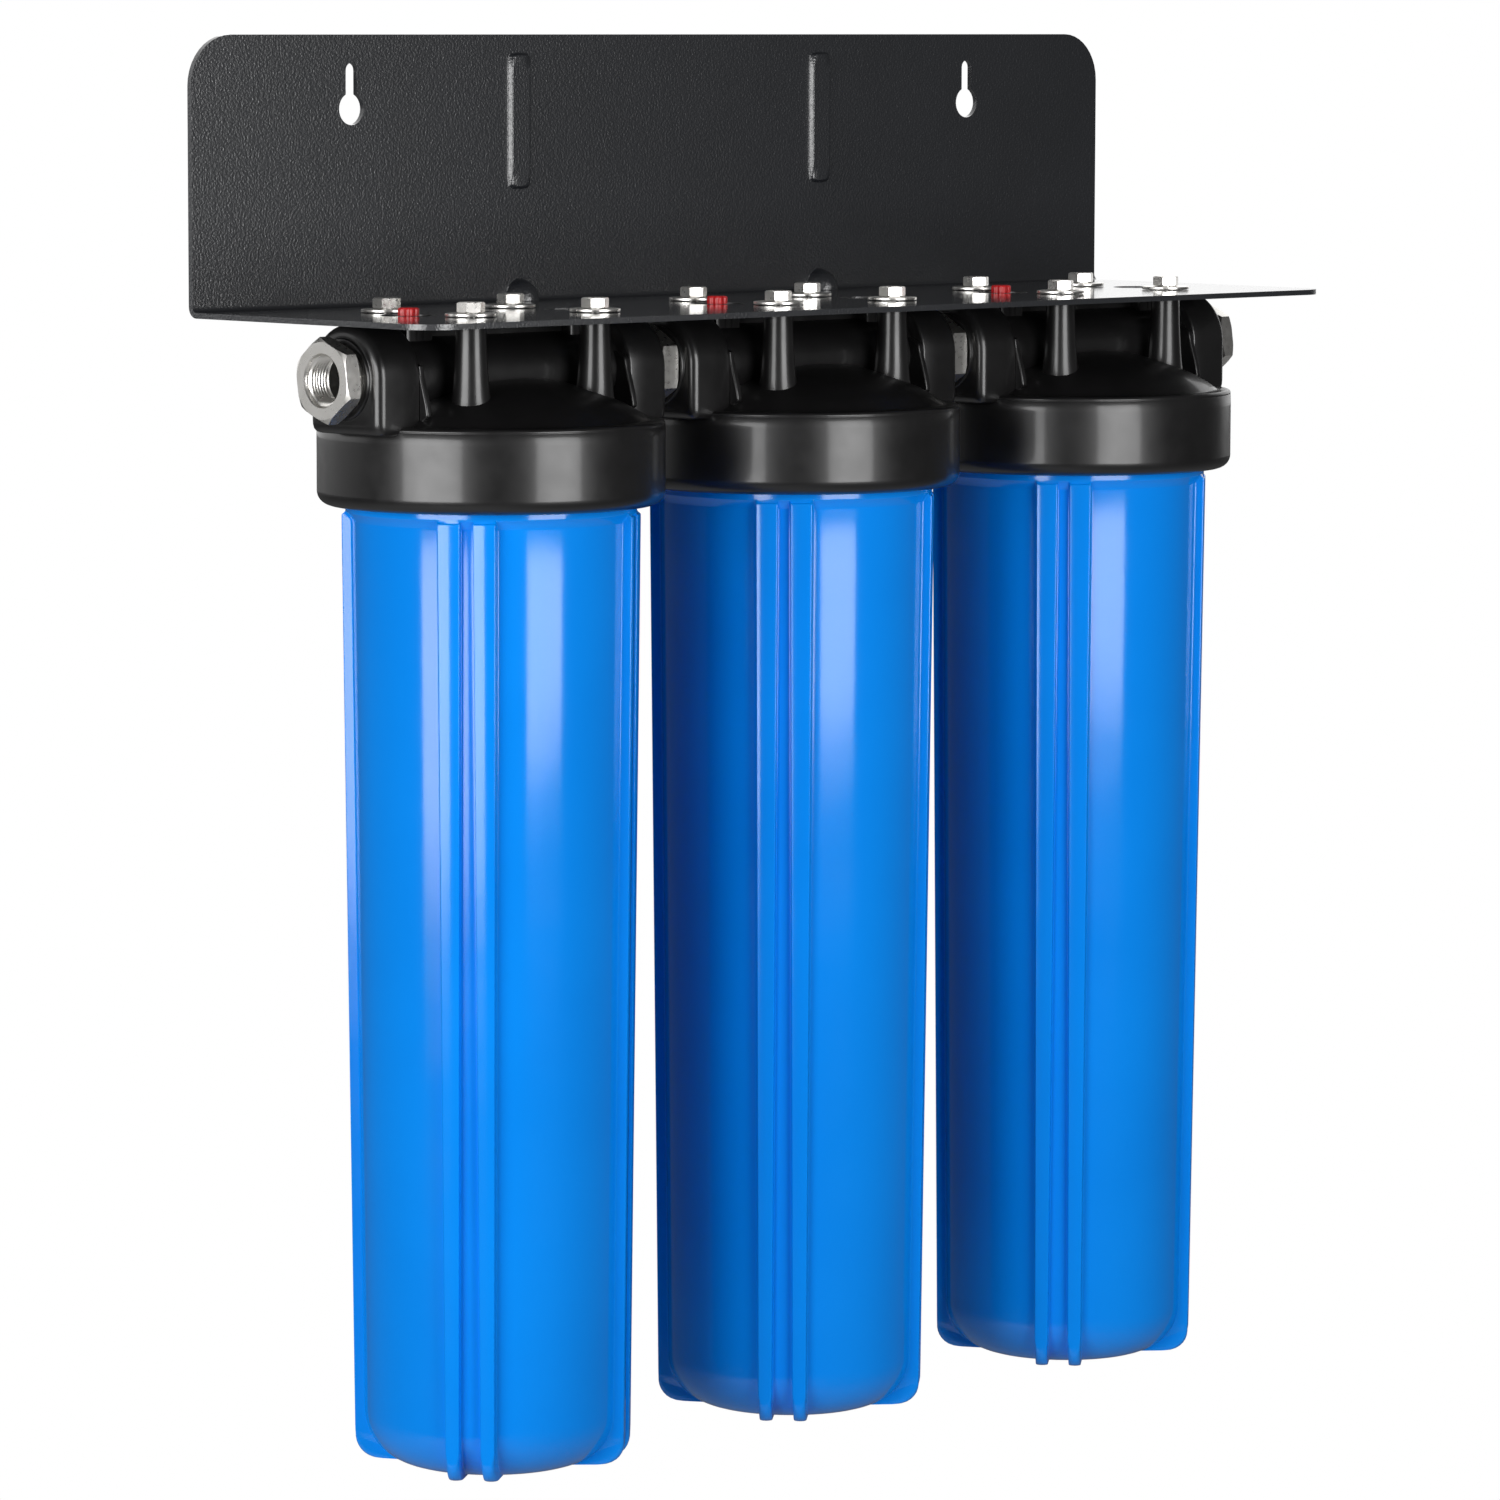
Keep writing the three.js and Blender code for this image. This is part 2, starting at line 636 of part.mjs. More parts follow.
// Hex nipple from one head's right port to the next head's left port.
function nipple(stage) {
  const z = -portDrop;
  const middle = stagePitch / 2;
  const reach = middle - portFace + screwInDepth;
  const bore = barAlongX(z, fittingBoreRadius, middle - reach - overrun, middle + reach + overrun);
  const hex = hexAlongX(z, hexAcross, middle - nippleHexLength / 2, middle + nippleHexLength / 2);
  return hexFitting(`nipple_${stage + 1}`, hex, [[middle - reach, middle + reach]], [bore]);
}

// Bolts and washers: heights are above the shelf's underside

const washerFoot = sheetThickness + touchGap;
const boltSeat = washerFoot + washerThickness + touchGap;

function washer(name, x, y) {
  const hole = boltShankRadius + boltHoleGap;
  const disc = uprightBar(x, y, washerRadius, washerRadius, washerFoot, washerFoot + washerThickness);
  return piece(name, cut(disc, uprightBar(x, y, hole, hole, 0, boltSeat + overrun, hiddenSides)), stainless);
}

function bolt(name, x, y) {
  const corner = boltHexAcross / Math.sqrt(3);
  const hex = uprightBar(x, y, corner, corner, boltSeat, boltSeat + boltHexHeight, 6);
  const shank = uprightBar(x, y, boltShankRadius, boltShankRadius, -boltReach, boltSeat + sink, hiddenSides);
  return piece(name, joined(hex, shank), stainless);
}

// Relief valve

// The red button: a fluted cap, and the stem and disc that close the valve.
function reliefButton(name) {
  const top = sheetThickness + buttonProud;
  const steps = 2 * buttonFluteCount;
  const fluted = outline(Array.from({ length: steps }, (_, i) => {
    const radius = buttonRadius - (i % 2) * buttonFluteDepth;
    const angle = 2 * Math.PI * i / steps;
    return [radius * Math.cos(angle), radius * Math.sin(angle)];
  }));
  const cap = new THREE.ExtrudeGeometry(fluted, { depth: top - buttonUnder, bevelEnabled: false });
  const body = joined(
    solid(cap.translate(0, 0, buttonUnder)),
    uprightBar(0, 0, stemRadius, stemRadius, -valveDiscDrop - sink, buttonUnder + sink),
    uprightBar(0, 0, valveDiscRadius, valveDiscRadius, -valveDiscDrop - valveDiscThickness, -valveDiscDrop),
  );
  return piece(name, body, redPlastic);
}

// The spring under the button: one wire that climbs round the stem.
function reliefSpring(name) {
  const coilRadius = (stemRadius + reliefPocketRadius) / 2;
  const low = -pocketDrop + touchGap + springWireRadius;
  const high = buttonUnder - touchGap - springWireRadius;
  const rings = springTurns * springStepsPerTurn;
  const positions = [];
  const indices = [];
  for (let ring = 0; ring <= rings; ring += 1) {
    const turn = 2 * Math.PI * ring / springStepsPerTurn;
    for (let side = 0; side < springSides; side += 1) {
      const round = 2 * Math.PI * side / springSides;
      const out = coilRadius + springWireRadius * Math.cos(round);
      const height = low + (high - low) * ring / rings + springWireRadius * Math.sin(round);
      positions.push(out * Math.cos(turn), out * Math.sin(turn), height);
      const next = (side + 1) % springSides;
      const [a, b] = [ring * springSides + side, ring * springSides + next];
      if (ring < rings) indices.push(a, a + springSides, b, b, a + springSides, b + springSides);
    }
  }
  for (const first of [0, rings * springSides]) {
    for (let side = 1; side < springSides - 1; side += 1) {
      const fan = [first, first + side, first + side + 1];
      indices.push(...(first === 0 ? fan : fan.reverse()));
    }
  }
  const wire = new THREE.BufferGeometry();
  wire.setAttribute('position', new THREE.Float32BufferAttribute(positions, 3));
  wire.setIndex(indices);
  return piece(name, solid(wire), springSteel);
}

// Sump

// Bottom of a bowl: the corner's arc and then a shallow dome to the axis.
function bowlFoot(radius, corner, low, rise) {
  return [
    ...arc(radius - corner, low + rise + corner, corner, 0, -0.8),
    [(radius - corner) / 2, low + rise / 4],
    [0, low],
  ];
}

function sumpRib(offset, turn) {
  const slope = (bodyTopRadius - bodyFootRadius) / (bottomDrop - bodyTopDrop);
  const radiusAt = (drop) => bodyTopRadius + ribProud - slope * (drop - bodyTopDrop);
  const foot = radiusAt(finDrop);
  const shape = outline([
    [finInnerRadius, -shoulderFootDrop],
    [finInnerRadius, -finDrop],
    ...arc(foot - finCornerRadius, -finDrop + finCornerRadius, finCornerRadius, -1, 0, 2),
    [radiusAt(shoulderFootDrop), -shoulderFootDrop],
  ]);
  const rib = new THREE.ExtrudeGeometry(shape, { depth: ribThickness, bevelEnabled: false });
  rib.rotateX(Math.PI / 2).translate(0, offset + ribThickness / 2, 0);
  return solid(rib.rotateZ(turn));
}

function sump(stage) {
  let body = revolved([
    [0, -rimTopDrop],
    [neckRadius, -rimTopDrop],
    [neckRadius, -neckFootDrop],
    [shoulderRadius, -shoulderTopDrop],
    [shoulderRadius, -shoulderFootDrop],
    [bodyTopRadius, -bodyTopDrop],
    ...bowlFoot(bodyFootRadius, bottomCornerRadius, -bottomDrop, bottomDomeRise),
  ]);
  for (let pair = 0; pair < ribPairs; pair += 1) {
    const turn = 2 * Math.PI * pair / ribPairs;
    for (const side of [-1, 1]) body = joined(body, sumpRib(side * ribPairSpacing / 2, turn));
  }
  const inside = bottomCornerRadius - sumpWall;
  const cavity = revolved([
    [0, -rimTopDrop + overrun],
    [bodyTopRadius - sumpWall, -rimTopDrop + overrun],
    [bodyTopRadius - sumpWall, -bodyTopDrop],
    ...bowlFoot(bodyFootRadius - sumpWall, inside, -bottomDrop + sumpWall, bottomDomeRise),
  ], insideSides);
  const groove = oRingSectionRadius + touchGap;
  const grooveFloor = -rimTopDrop - 2 * groove;
  const channel = revolved([
    [oRingRadius - groove, grooveFloor],
    [oRingRadius + groove, grooveFloor],
    [oRingRadius + groove, -rimTopDrop + overrun],
    [oRingRadius - groove, -rimTopDrop + overrun],
    [oRingRadius - groove, grooveFloor],
  ], insideSides);
  body = cut(body, cavity, channel);
  const spigotFoot = -bottomDrop + sumpWall / 2;
  const spigot = [spigotRadius + spigotDraft, spigotRadius, spigotFoot, -lowerSpigotDrop];
  body = joined(body, uprightBar(0, 0, ...spigot, portSides));
  return piece(`sump_${stage + 1}`, body, bluePlastic);
}

function sumpRing(stage) {
  const ring = new THREE.TorusGeometry(oRingRadius, oRingSectionRadius, oRingSides, insideSides);
  const height = -rimTopDrop - touchGap - oRingSectionRadius;
  return piece(`sump_o_ring_${stage + 1}`, solid(ring.translate(0, 0, height)), blackRubber);
}

// Cartridge

function cartridge(stage) {
  const [top, foot] = [-cartridgeDrop, -cartridgeDrop - cartridgeLength];
  const blockRadius = cartridgeCapRadius - cartridgeCapRim;
  const body = revolved([
    [cartridgeBoreRadius, foot],
    [cartridgeCapRadius, foot],
    [cartridgeCapRadius, foot + cartridgeCapHeight],
    [blockRadius, foot + cartridgeCapHeight],
    [blockRadius, top - cartridgeCapHeight],
    [cartridgeCapRadius, top - cartridgeCapHeight],
    [cartridgeCapRadius, top],
    [cartridgeBoreRadius, top],
    [cartridgeBoreRadius, foot],
  ], cartridgeSides);
  return piece(`cartridge_${stage + 1}`, body, filterBlock);
}

function gasket(name, top) {
  const body = revolved([
    [gasketBoreRadius, top - gasketThickness],
    [gasketRadius, top - gasketThickness],
    [gasketRadius, top],
    [gasketBoreRadius, top],
    [gasketBoreRadius, top - gasketThickness],
  ], smallSides);
  return piece(name, body, blackRubber);
}

// Assembly

// One stage hangs from the shelf's underside, with its axis upright through the group's origin.
function stageGroup(stage) {
  const group = new THREE.Group();
  group.position.set(stageX(stage), -rowFromWall, shelfUnder);
  const number = stage + 1;
  const housing = new THREE.Group();
  housing.rotation.z = THREE.MathUtils.degToRad(ribTurn);
  housing.add(sump(stage), sumpRing(stage));
  group.add(head(stage), housing, cartridge(stage));
  group.add(gasket(`upper_gasket_${number}`, -gasketDrop), gasket(`lower_gasket_${number}`, -lowerGasketDrop));
  boltPlaces().forEach(([x, y], k) => {
    group.add(washer(`washer_${number}_${k + 1}`, x, y), bolt(`bolt_${number}_${k + 1}`, x, y));
  });
  const valve = new THREE.Group();
  valve.position.x = -reliefOffset;
  valve.add(reliefButton(`relief_button_${number}`), reliefSpring(`relief_spring_${number}`));
  group.add(valve);
  if (stage === 0) group.add(bushing('inlet_bushing', -1));
  if (stage === stageCount - 1) group.add(bushing('outlet_bushing', 1));
  else group.add(nipple(stage));
  return group;
}

const filter = new THREE.Group();
filter.add(bracket());
for (let stage = 0; stage < stageCount; stage += 1) filter.add(stageGroup(stage));

export default filter;
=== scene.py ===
# %% [markdown]
# # A three-stage whole house water filter
# Three tall blue sumps screw up into black moulded heads, and the heads hang in a row under one
# folded steel bracket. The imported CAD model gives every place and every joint. This lesson dresses
# it: finer surfaces worked out with numpy, and finishes made of shader nodes.

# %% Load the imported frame
import math

import bmesh
import bpy
import numpy as np
from mathutils import Matrix
from mathutils.geometry import delaunay_2d_cdt


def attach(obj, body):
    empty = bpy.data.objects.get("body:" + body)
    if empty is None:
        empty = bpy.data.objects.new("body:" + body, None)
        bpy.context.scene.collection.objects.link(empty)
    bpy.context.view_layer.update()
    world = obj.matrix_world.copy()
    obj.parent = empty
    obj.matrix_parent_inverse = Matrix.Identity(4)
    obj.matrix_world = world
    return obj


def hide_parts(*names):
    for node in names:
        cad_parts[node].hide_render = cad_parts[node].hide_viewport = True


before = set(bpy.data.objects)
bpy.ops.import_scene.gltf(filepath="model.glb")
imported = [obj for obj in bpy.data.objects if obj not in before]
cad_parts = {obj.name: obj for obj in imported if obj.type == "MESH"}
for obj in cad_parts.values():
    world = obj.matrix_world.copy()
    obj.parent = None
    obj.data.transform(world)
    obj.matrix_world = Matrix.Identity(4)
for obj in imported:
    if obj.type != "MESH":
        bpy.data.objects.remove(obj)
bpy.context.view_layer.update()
MM = 0.001

# %% [markdown]
# ## Camera
# The photograph was taken with a long lens from the left, a little above the sumps' heads. The
# camera could be aimed with a constraint, but three turns and a place say the same in plain
# numbers. A long lens keeps the three stages almost equal in size, and no shift is needed.

# %% Camera
YAW, PITCH, ROLL = (math.radians(turn) for turn in (43.926, 6.285, -0.142))
CAMERA_PLACE = np.array([-2566.5, -2731.4, 83.9])
forward = np.array([math.sin(YAW) * math.cos(PITCH), math.cos(YAW) * math.cos(PITCH), -math.sin(PITCH)])
level_right = np.array([math.cos(YAW), -math.sin(YAW), 0.0])
level_down = np.cross(forward, level_right)
right = math.cos(ROLL) * level_right + math.sin(ROLL) * level_down
down = math.cos(ROLL) * level_down - math.sin(ROLL) * level_right

camera = bpy.data.objects.new("photo_camera", bpy.data.cameras.new("photo_camera"))
camera.data.sensor_width = 36
camera.data.lens = 160.4
camera.data.clip_end = 100
camera.matrix_world = Matrix([
    [right[k], -down[k], -forward[k], CAMERA_PLACE[k] * MM] for k in range(3)
] + [[0, 0, 0, 1]])
bpy.context.scene.collection.objects.link(camera)
bpy.context.scene.camera = camera
bpy.context.scene.view_settings.view_transform = "Standard"
print("camera looks along", np.round(forward, 3))

# %% [markdown]
# ## Sizes that the pieces share
# All lengths below are in millimetres and repeat the sizes of the CAD part. X runs along the row,
# the wall is the plane Y = 0, and each stage hangs from the underside of the bracket's shelf, so a
# stage's own heights are counted from there, downwards as negative numbers.

# %% Shared sizes
STAGES = [-222.0, 0.0, 222.0]
ROW = -100.0
SHELF_TOP = -72.5
SHELF_UNDER = -75.5
PORT = -29.0
PORT_FACE = 104.0
RELIEF = 57.5
BOLTS = [(-43.65, -33.35), (43.65, -33.35), (-43.65, 33.35), (43.65, 33.35)]
print("stages at x =", STAGES)

# %% [markdown]
# ## Skins from grids
# Nearly every part here is turned, moulded or pressed, so its skin is a grid: rows of points round
# an axis or along an outline, joined by quads. A modelling tool such as Spin or Screw would do some
# of them, but a formula over whole arrays gives any of them, and it stays exact when a size changes.
# A skin is a pair of arrays, its points and its quads. Rows that shrink to one point close it.

# %% Grids of quads
def grid_quads(rows, columns, closed=False):
    """Quads between neighbours in a grid that goes round: point (row, column) joins (row, column + 1),
    (row + 1, column + 1) and (row + 1, column), with columns counted in a circle."""
    row = np.arange(rows if closed else rows - 1)[:, None]
    column = np.arange(columns)[None, :]
    below, beside = (row + 1) % rows, (column + 1) % columns
    corners = [row * columns + column, row * columns + beside,
               below * columns + beside, below * columns + column]
    corners = [np.broadcast_to(corner, (row.size, columns)) for corner in corners]
    return np.stack(corners, -1).reshape(-1, 4)


def skin(rings, closed=False):
    """A skin over rings, an array of rows x columns x 3."""
    rings = np.asarray(rings, float)
    return rings.reshape(-1, 3), grid_quads(*rings.shape[:2], closed)


def together(*skins):
    """Several skins as one, with each one's quads counted on from the points before it."""
    starts = np.cumsum([0] + [len(points) for points, _ in skins])
    return (np.concatenate([points for points, _ in skins]),
            np.concatenate([quads + start for (_, quads), start in zip(skins, starts)]))


def moved(piece_skin, x=0.0, y=0.0, z=0.0, turn=0.0):
    """A skin turned about Z by an angle in degrees, and then shifted."""
    points, quads = piece_skin
    c, s = math.cos(math.radians(turn)), math.sin(math.radians(turn))
    return points @ np.array([[c, s, 0], [-s, c, 0], [0, 0, 1]]) + [x, y, z], quads


def laid_along_x(piece_skin, side):
    """A skin about Z laid along X: +Z goes to side times +X, X to the front (-Y) and Y up."""
    points, quads = piece_skin
    return np.stack([side * points[:, 2], -points[:, 0], points[:, 1]], -1), quads


print("a grid of 3 x 4 points has", len(grid_quads(3, 4)), "quads")

# %% Rounded profiles and turned skins
def softened(corners, radius=0.6, steps=3):
    """A line of points whose inner corners are rounded. Each corner P becomes the curve
    (1 - t)^2 A + 2 t (1 - t) P + t^2 B, where A and B lie radius away from P on its two sides."""
    corners = np.asarray(corners, float)
    before, after = corners[:-2] - corners[1:-1], corners[2:] - corners[1:-1]
    long_before, long_after = (np.linalg.norm(way, axis=1, keepdims=True) for way in (before, after))
    reach = np.broadcast_to(np.asarray(radius, float).reshape(-1, 1), long_before.shape)
    start = corners[1:-1] + before * np.minimum(reach / long_before, 0.45)
    end = corners[1:-1] + after * np.minimum(reach / long_after, 0.45)
    t = np.linspace(0, 1, steps + 1)[None, :, None]
    middle = corners[1:-1, None]
    curve = (1 - t) ** 2 * start[:, None] + 2 * t * (1 - t) * middle + t ** 2 * end[:, None]
    return np.concatenate([corners[:1], curve.reshape(-1, 2), corners[-1:]])


def round_angles(columns):
    """The angles of columns that stand evenly round an axis."""
    return 2 * np.pi * np.arange(columns) / columns


def rings_about(radius, height, columns):
    """Rings about Z: x = radius cos(angle), y = radius sin(angle). Radius and height hold one number
    for each ring, or one for each of its columns."""
    angle = round_angles(columns)
    return np.stack(np.broadcast_arrays(radius * np.cos(angle), radius * np.sin(angle), height), -1)


def rings_of(profile, columns=72):
    """A profile of radius and height as rings about Z."""
    profile = np.asarray(profile, float)
    return rings_about(profile[:, :1], profile[:, 1:], columns)


def turned(profile, columns=96, closed=False):
    """A profile spun about Z, as a skin."""
    return skin(rings_of(profile, columns), closed)


def slab(outline, low, high, soft=0.8, steps=3):
    """A flat piece between two heights with its rims rounded. As an angle a goes from 0 to 90 degrees,
    the outline is drawn in by soft (1 - sin a), and the height lies soft (1 - cos a) off the face."""
    outline = np.asarray(outline, float)
    edge = np.roll(outline, -1, 0) - outline
    normal = np.stack([edge[:, 1], -edge[:, 0]], -1)
    normal /= np.maximum(np.linalg.norm(normal, axis=1, keepdims=True), 1e-9)
    corner = normal + np.roll(normal, 1, 0)
    corner /= np.maximum((corner ** 2).sum(1, keepdims=True) / 2, 0.2)
    (x, y), (next_x, next_y) = outline.T, np.roll(outline, -1, 0).T
    if (x * next_y - y * next_x).sum() < 0:
        corner = -corner
    a = np.linspace(0, np.pi / 2, steps + 1)
    inset, climb = soft * (1 - np.sin(a)), soft * (1 - np.cos(a))
    levels = np.concatenate([low + climb, high - climb[::-1]])
    insets = np.concatenate([inset, inset[::-1]])
    flat = outline[None] - corner[None] * insets[:, None, None]
    rings = np.concatenate([flat, np.broadcast_to(levels[:, None, None], flat.shape[:2] + (1,))], -1)
    middle = outline.mean(0)
    caps = [np.broadcast_to([*middle, level], rings.shape[1:]) for level in (low, high)]
    return skin(np.concatenate([caps[:1], rings, caps[1:]]))


# %% [markdown]
# ## From skin to piece
# Each finished object sits at the origin with its place in its mesh, just as the CAD nodes do.
# Points that meet are merged skin by skin, which closes seams and poles, and every closed skin gets
# its faces turned outwards. Smooth shading stops at edges that are sharper than a set angle.

# %% Pieces
def make_piece(name, skins, finish, body, replaced=(), sharp=32):
    """Builds an object from closed skins in mm, gives it a finish and lets it ride on a CAD body."""
    points, quads = together(*skins)
    mesh = bpy.data.meshes.new(name)
    mesh.from_pydata((points * MM).tolist(), [], quads.tolist())
    work = bmesh.new()
    work.from_mesh(mesh)
    work.verts.ensure_lookup_table()
    ends = np.cumsum([0] + [len(skin_points) for skin_points, _ in skins])
    groups = [work.verts[start:end] for start, end in zip(ends[:-1], ends[1:])]
    for group in groups:
        bmesh.ops.remove_doubles(work, verts=group, dist=2e-6)
    bmesh.ops.recalc_face_normals(work, faces=work.faces)
    work.to_mesh(mesh)
    work.free()
    mesh.shade_smooth()
    mesh.set_sharp_from_angle(angle=math.radians(sharp))
    mesh.materials.append(finish)
    piece = bpy.data.objects.new(name, mesh)
    bpy.context.scene.collection.objects.link(piece)
    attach(piece, body)
    if replaced:
        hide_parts(*replaced)
    return piece


print("CAD nodes to dress:", len(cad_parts))

# %% [markdown]
# ## Finishes
# A finish is a Principled shader with a little life in it: a noise pattern in the object's own
# coordinates shifts the colour and the gloss slightly, and a finer one lifts the surface. Image
# textures would need a layout for every piece, while noise in object space fits them all and has
# its true size in millimetres. Numbers that are the same all over are set on the shader itself.

# %% A moulded or coated finish
def start_finish(name, **settings):
    """A new material with its Principled shader's own sockets set."""
    material = bpy.data.materials.new(name)
    material.use_nodes = True
    shader = material.node_tree.nodes["Principled BSDF"]
    for socket, value in settings.items():
        shader.inputs[socket.replace("_", " ")].default_value = value
    return material, shader


def add_node(material, kind, **settings):
    """A node of that kind. Settings that name an input set it, and the others set the node."""
    node = material.node_tree.nodes.new(kind)
    for key, value in settings.items():
        label = key.replace("_", " ")
        if label in node.inputs:
            node.inputs[label].default_value = value
        else:
            setattr(node, key, value)
    return node


def wire(material, source, target):
    material.node_tree.links.new(source, target)


def grain(material, period, detail=2.0):
    """Noise in object space, whose lumps are about period mm across."""
    place = add_node(material, "ShaderNodeTexCoord")
    noise = add_node(material, "ShaderNodeTexNoise", Scale=1 / (period * MM), Detail=detail, Roughness=0.5)
    wire(material, place.outputs["Object"], noise.inputs["Vector"])
    return noise.outputs["Fac"]


def vary(material, shader, socket, factor, low, high):
    """Drives a shader's number between low and high by a noise factor."""
    spread = add_node(material, "ShaderNodeMapRange", From_Min=0.3, From_Max=0.7, To_Min=low, To_Max=high)
    wire(material, factor, spread.inputs["Value"])
    wire(material, spread.outputs["Result"], shader.inputs[socket])


def tint(material, shader, factor, low, high):
    """Blends the base colour between two colours by a noise factor."""
    ramp = add_node(material, "ShaderNodeValToRGB")
    for stop, position, colour in zip(ramp.color_ramp.elements, (0.35, 0.65), (low, high)):
        stop.position, stop.color = position, (*colour, 1)
    wire(material, factor, ramp.inputs["Fac"])
    wire(material, ramp.outputs["Color"], shader.inputs["Base Color"])


def lift(material, shader, factor, height, strength=1.0):
    """Lifts the surface by a noise factor, height in mm from its lowest to its highest."""
    bump = add_node(material, "ShaderNodeBump", Strength=strength, Distance=height * MM)
    wire(material, factor, bump.inputs["Height"])
    wire(material, bump.outputs["Normal"], shader.inputs["Normal"])
    return bump


print("materials before the finishes:", len(bpy.data.materials))

# %% Powder coat, black moulding and blue moulding
powder_coat, shader = start_finish("powder_coat", Roughness=0.36, IOR=1.8, Coat_Weight=0.8,
                                   Coat_Roughness=0.36)
tint(powder_coat, shader, grain(powder_coat, 60), (0.0055, 0.0068, 0.0098), (0.0075, 0.0088, 0.0122))
peel = lift(powder_coat, shader, grain(powder_coat, 1.35, 1.0), 0.27)
wire(powder_coat, peel.outputs["Normal"], shader.inputs["Coat Normal"])
# The shelf's top came out smoother than the plate, so faces that look up get less grain and more gloss.
facing = add_node(powder_coat, "ShaderNodeTexCoord")
upward = add_node(powder_coat, "ShaderNodeSeparateXYZ")
wire(powder_coat, facing.outputs["Normal"], upward.inputs["Vector"])
gloss_sockets = [shader.inputs["Roughness"], shader.inputs["Coat Roughness"]]
for at_plate, at_shelf, driven in ((1.0, 0.1, [peel.inputs["Strength"]]), (0.36, 0.12, gloss_sockets)):
    level = add_node(powder_coat, "ShaderNodeMapRange", From_Min=0.6, From_Max=0.95,
                     To_Min=at_plate, To_Max=at_shelf)
    wire(powder_coat, upward.outputs["Z"], level.inputs["Value"])
    for socket in driven:
        wire(powder_coat, level.outputs["Result"], socket)

black_plastic, shader = start_finish("black_plastic", Roughness=0.34, IOR=1.5, Coat_Weight=0.35,
                                     Coat_Roughness=0.12)
tint(black_plastic, shader, grain(black_plastic, 35), (0.0055, 0.0053, 0.0055), (0.0075, 0.0072, 0.0075))
vary(black_plastic, shader, "Roughness", grain(black_plastic, 12), 0.31, 0.38)
lift(black_plastic, shader, grain(black_plastic, 0.8, 2.0), 0.012)

blue_plastic, shader = start_finish("blue_plastic", Roughness=0.12, IOR=1.5)
tint(blue_plastic, shader, grain(blue_plastic, 90), (0.0010, 0.240, 0.84), (0.0014, 0.252, 0.87))
vary(blue_plastic, shader, "Roughness", grain(blue_plastic, 30), 0.11, 0.14)
lift(blue_plastic, shader, grain(blue_plastic, 14, 1.0), 0.02)
print("nodes of each:", [len(finish.node_tree.nodes) for finish in (powder_coat, black_plastic, blue_plastic)])

# %% Red buttons, bright steel, rubber and filter cloth
red_plastic, shader = start_finish("red_plastic", Roughness=0.3, IOR=1.5)
tint(red_plastic, shader, grain(red_plastic, 6), (0.55, 0.008, 0.012), (0.68, 0.014, 0.018))
lift(red_plastic, shader, grain(red_plastic, 0.7), 0.01)

stainless, shader = start_finish("stainless", Metallic=1.0, Roughness=0.3)
tint(stainless, shader, grain(stainless, 8), (0.88, 0.86, 0.82), (0.94, 0.92, 0.885))
vary(stainless, shader, "Roughness", grain(stainless, 3), 0.26, 0.34)
lift(stainless, shader, grain(stainless, 2.5, 1.0), 0.004)

spring_steel, shader = start_finish("spring_steel", Metallic=1.0, Roughness=0.3)
tint(spring_steel, shader, grain(spring_steel, 3), (0.4, 0.41, 0.43), (0.5, 0.51, 0.53))

black_rubber, shader = start_finish("black_rubber", Roughness=0.7)
tint(black_rubber, shader, grain(black_rubber, 10), (0.008, 0.008, 0.008), (0.014, 0.014, 0.014))
lift(black_rubber, shader, grain(black_rubber, 0.4), 0.02)

filter_block, shader = start_finish("filter_block", Roughness=0.9)
tint(filter_block, shader, grain(filter_block, 5), (0.78, 0.77, 0.73), (0.87, 0.86, 0.83))
lift(filter_block, shader, grain(filter_block, 0.9, 4.0), 0.25)
print("finishes:", [material.name for material in bpy.data.materials if material.users == 0])

# %% [markdown]
# ## Sump: one grid for body, ribs and fins
# A sump is a bowl with four pairs of upright ribs. The ribs run straight down past the rounded
# bottom, where they become fins that the sump can stand on. Ribs could be boxes joined to a turned
# body, but then every foot of a rib would be a hard cut. Here one grid makes the whole skin. Its
# rows follow two lines at once, the body's profile and the fin's outline, and its columns cross the
# ribs. Across a rib, a share from 0 to 1 says how far a point has left the body for the fin.

# %% The sump's two lines
RIB_MIDDLE = 9.4
RIB_TOP = -107.0
SEAM = -595.0
WIDEST = 77.6
FIN_FOOT = -609.8
FIN_CORNER = 11.0


def joined_lines(*lines):
    return np.concatenate([np.asarray(line, float) for line in lines])


def arc(middle_a, middle_b, radius, start, end, steps):
    """Points of an arc, from one angle to another in degrees."""
    angle = np.radians(np.linspace(start, end, steps + 1))
    return np.stack([middle_a + radius * np.cos(angle), middle_b + radius * np.sin(angle)], -1)


def between(start, end, steps):
    """Points of a straight line, without its first."""
    share = np.arange(1, steps + 1)[:, None] / steps
    return np.asarray(start, float) + share * (np.asarray(end, float) - np.asarray(start, float))


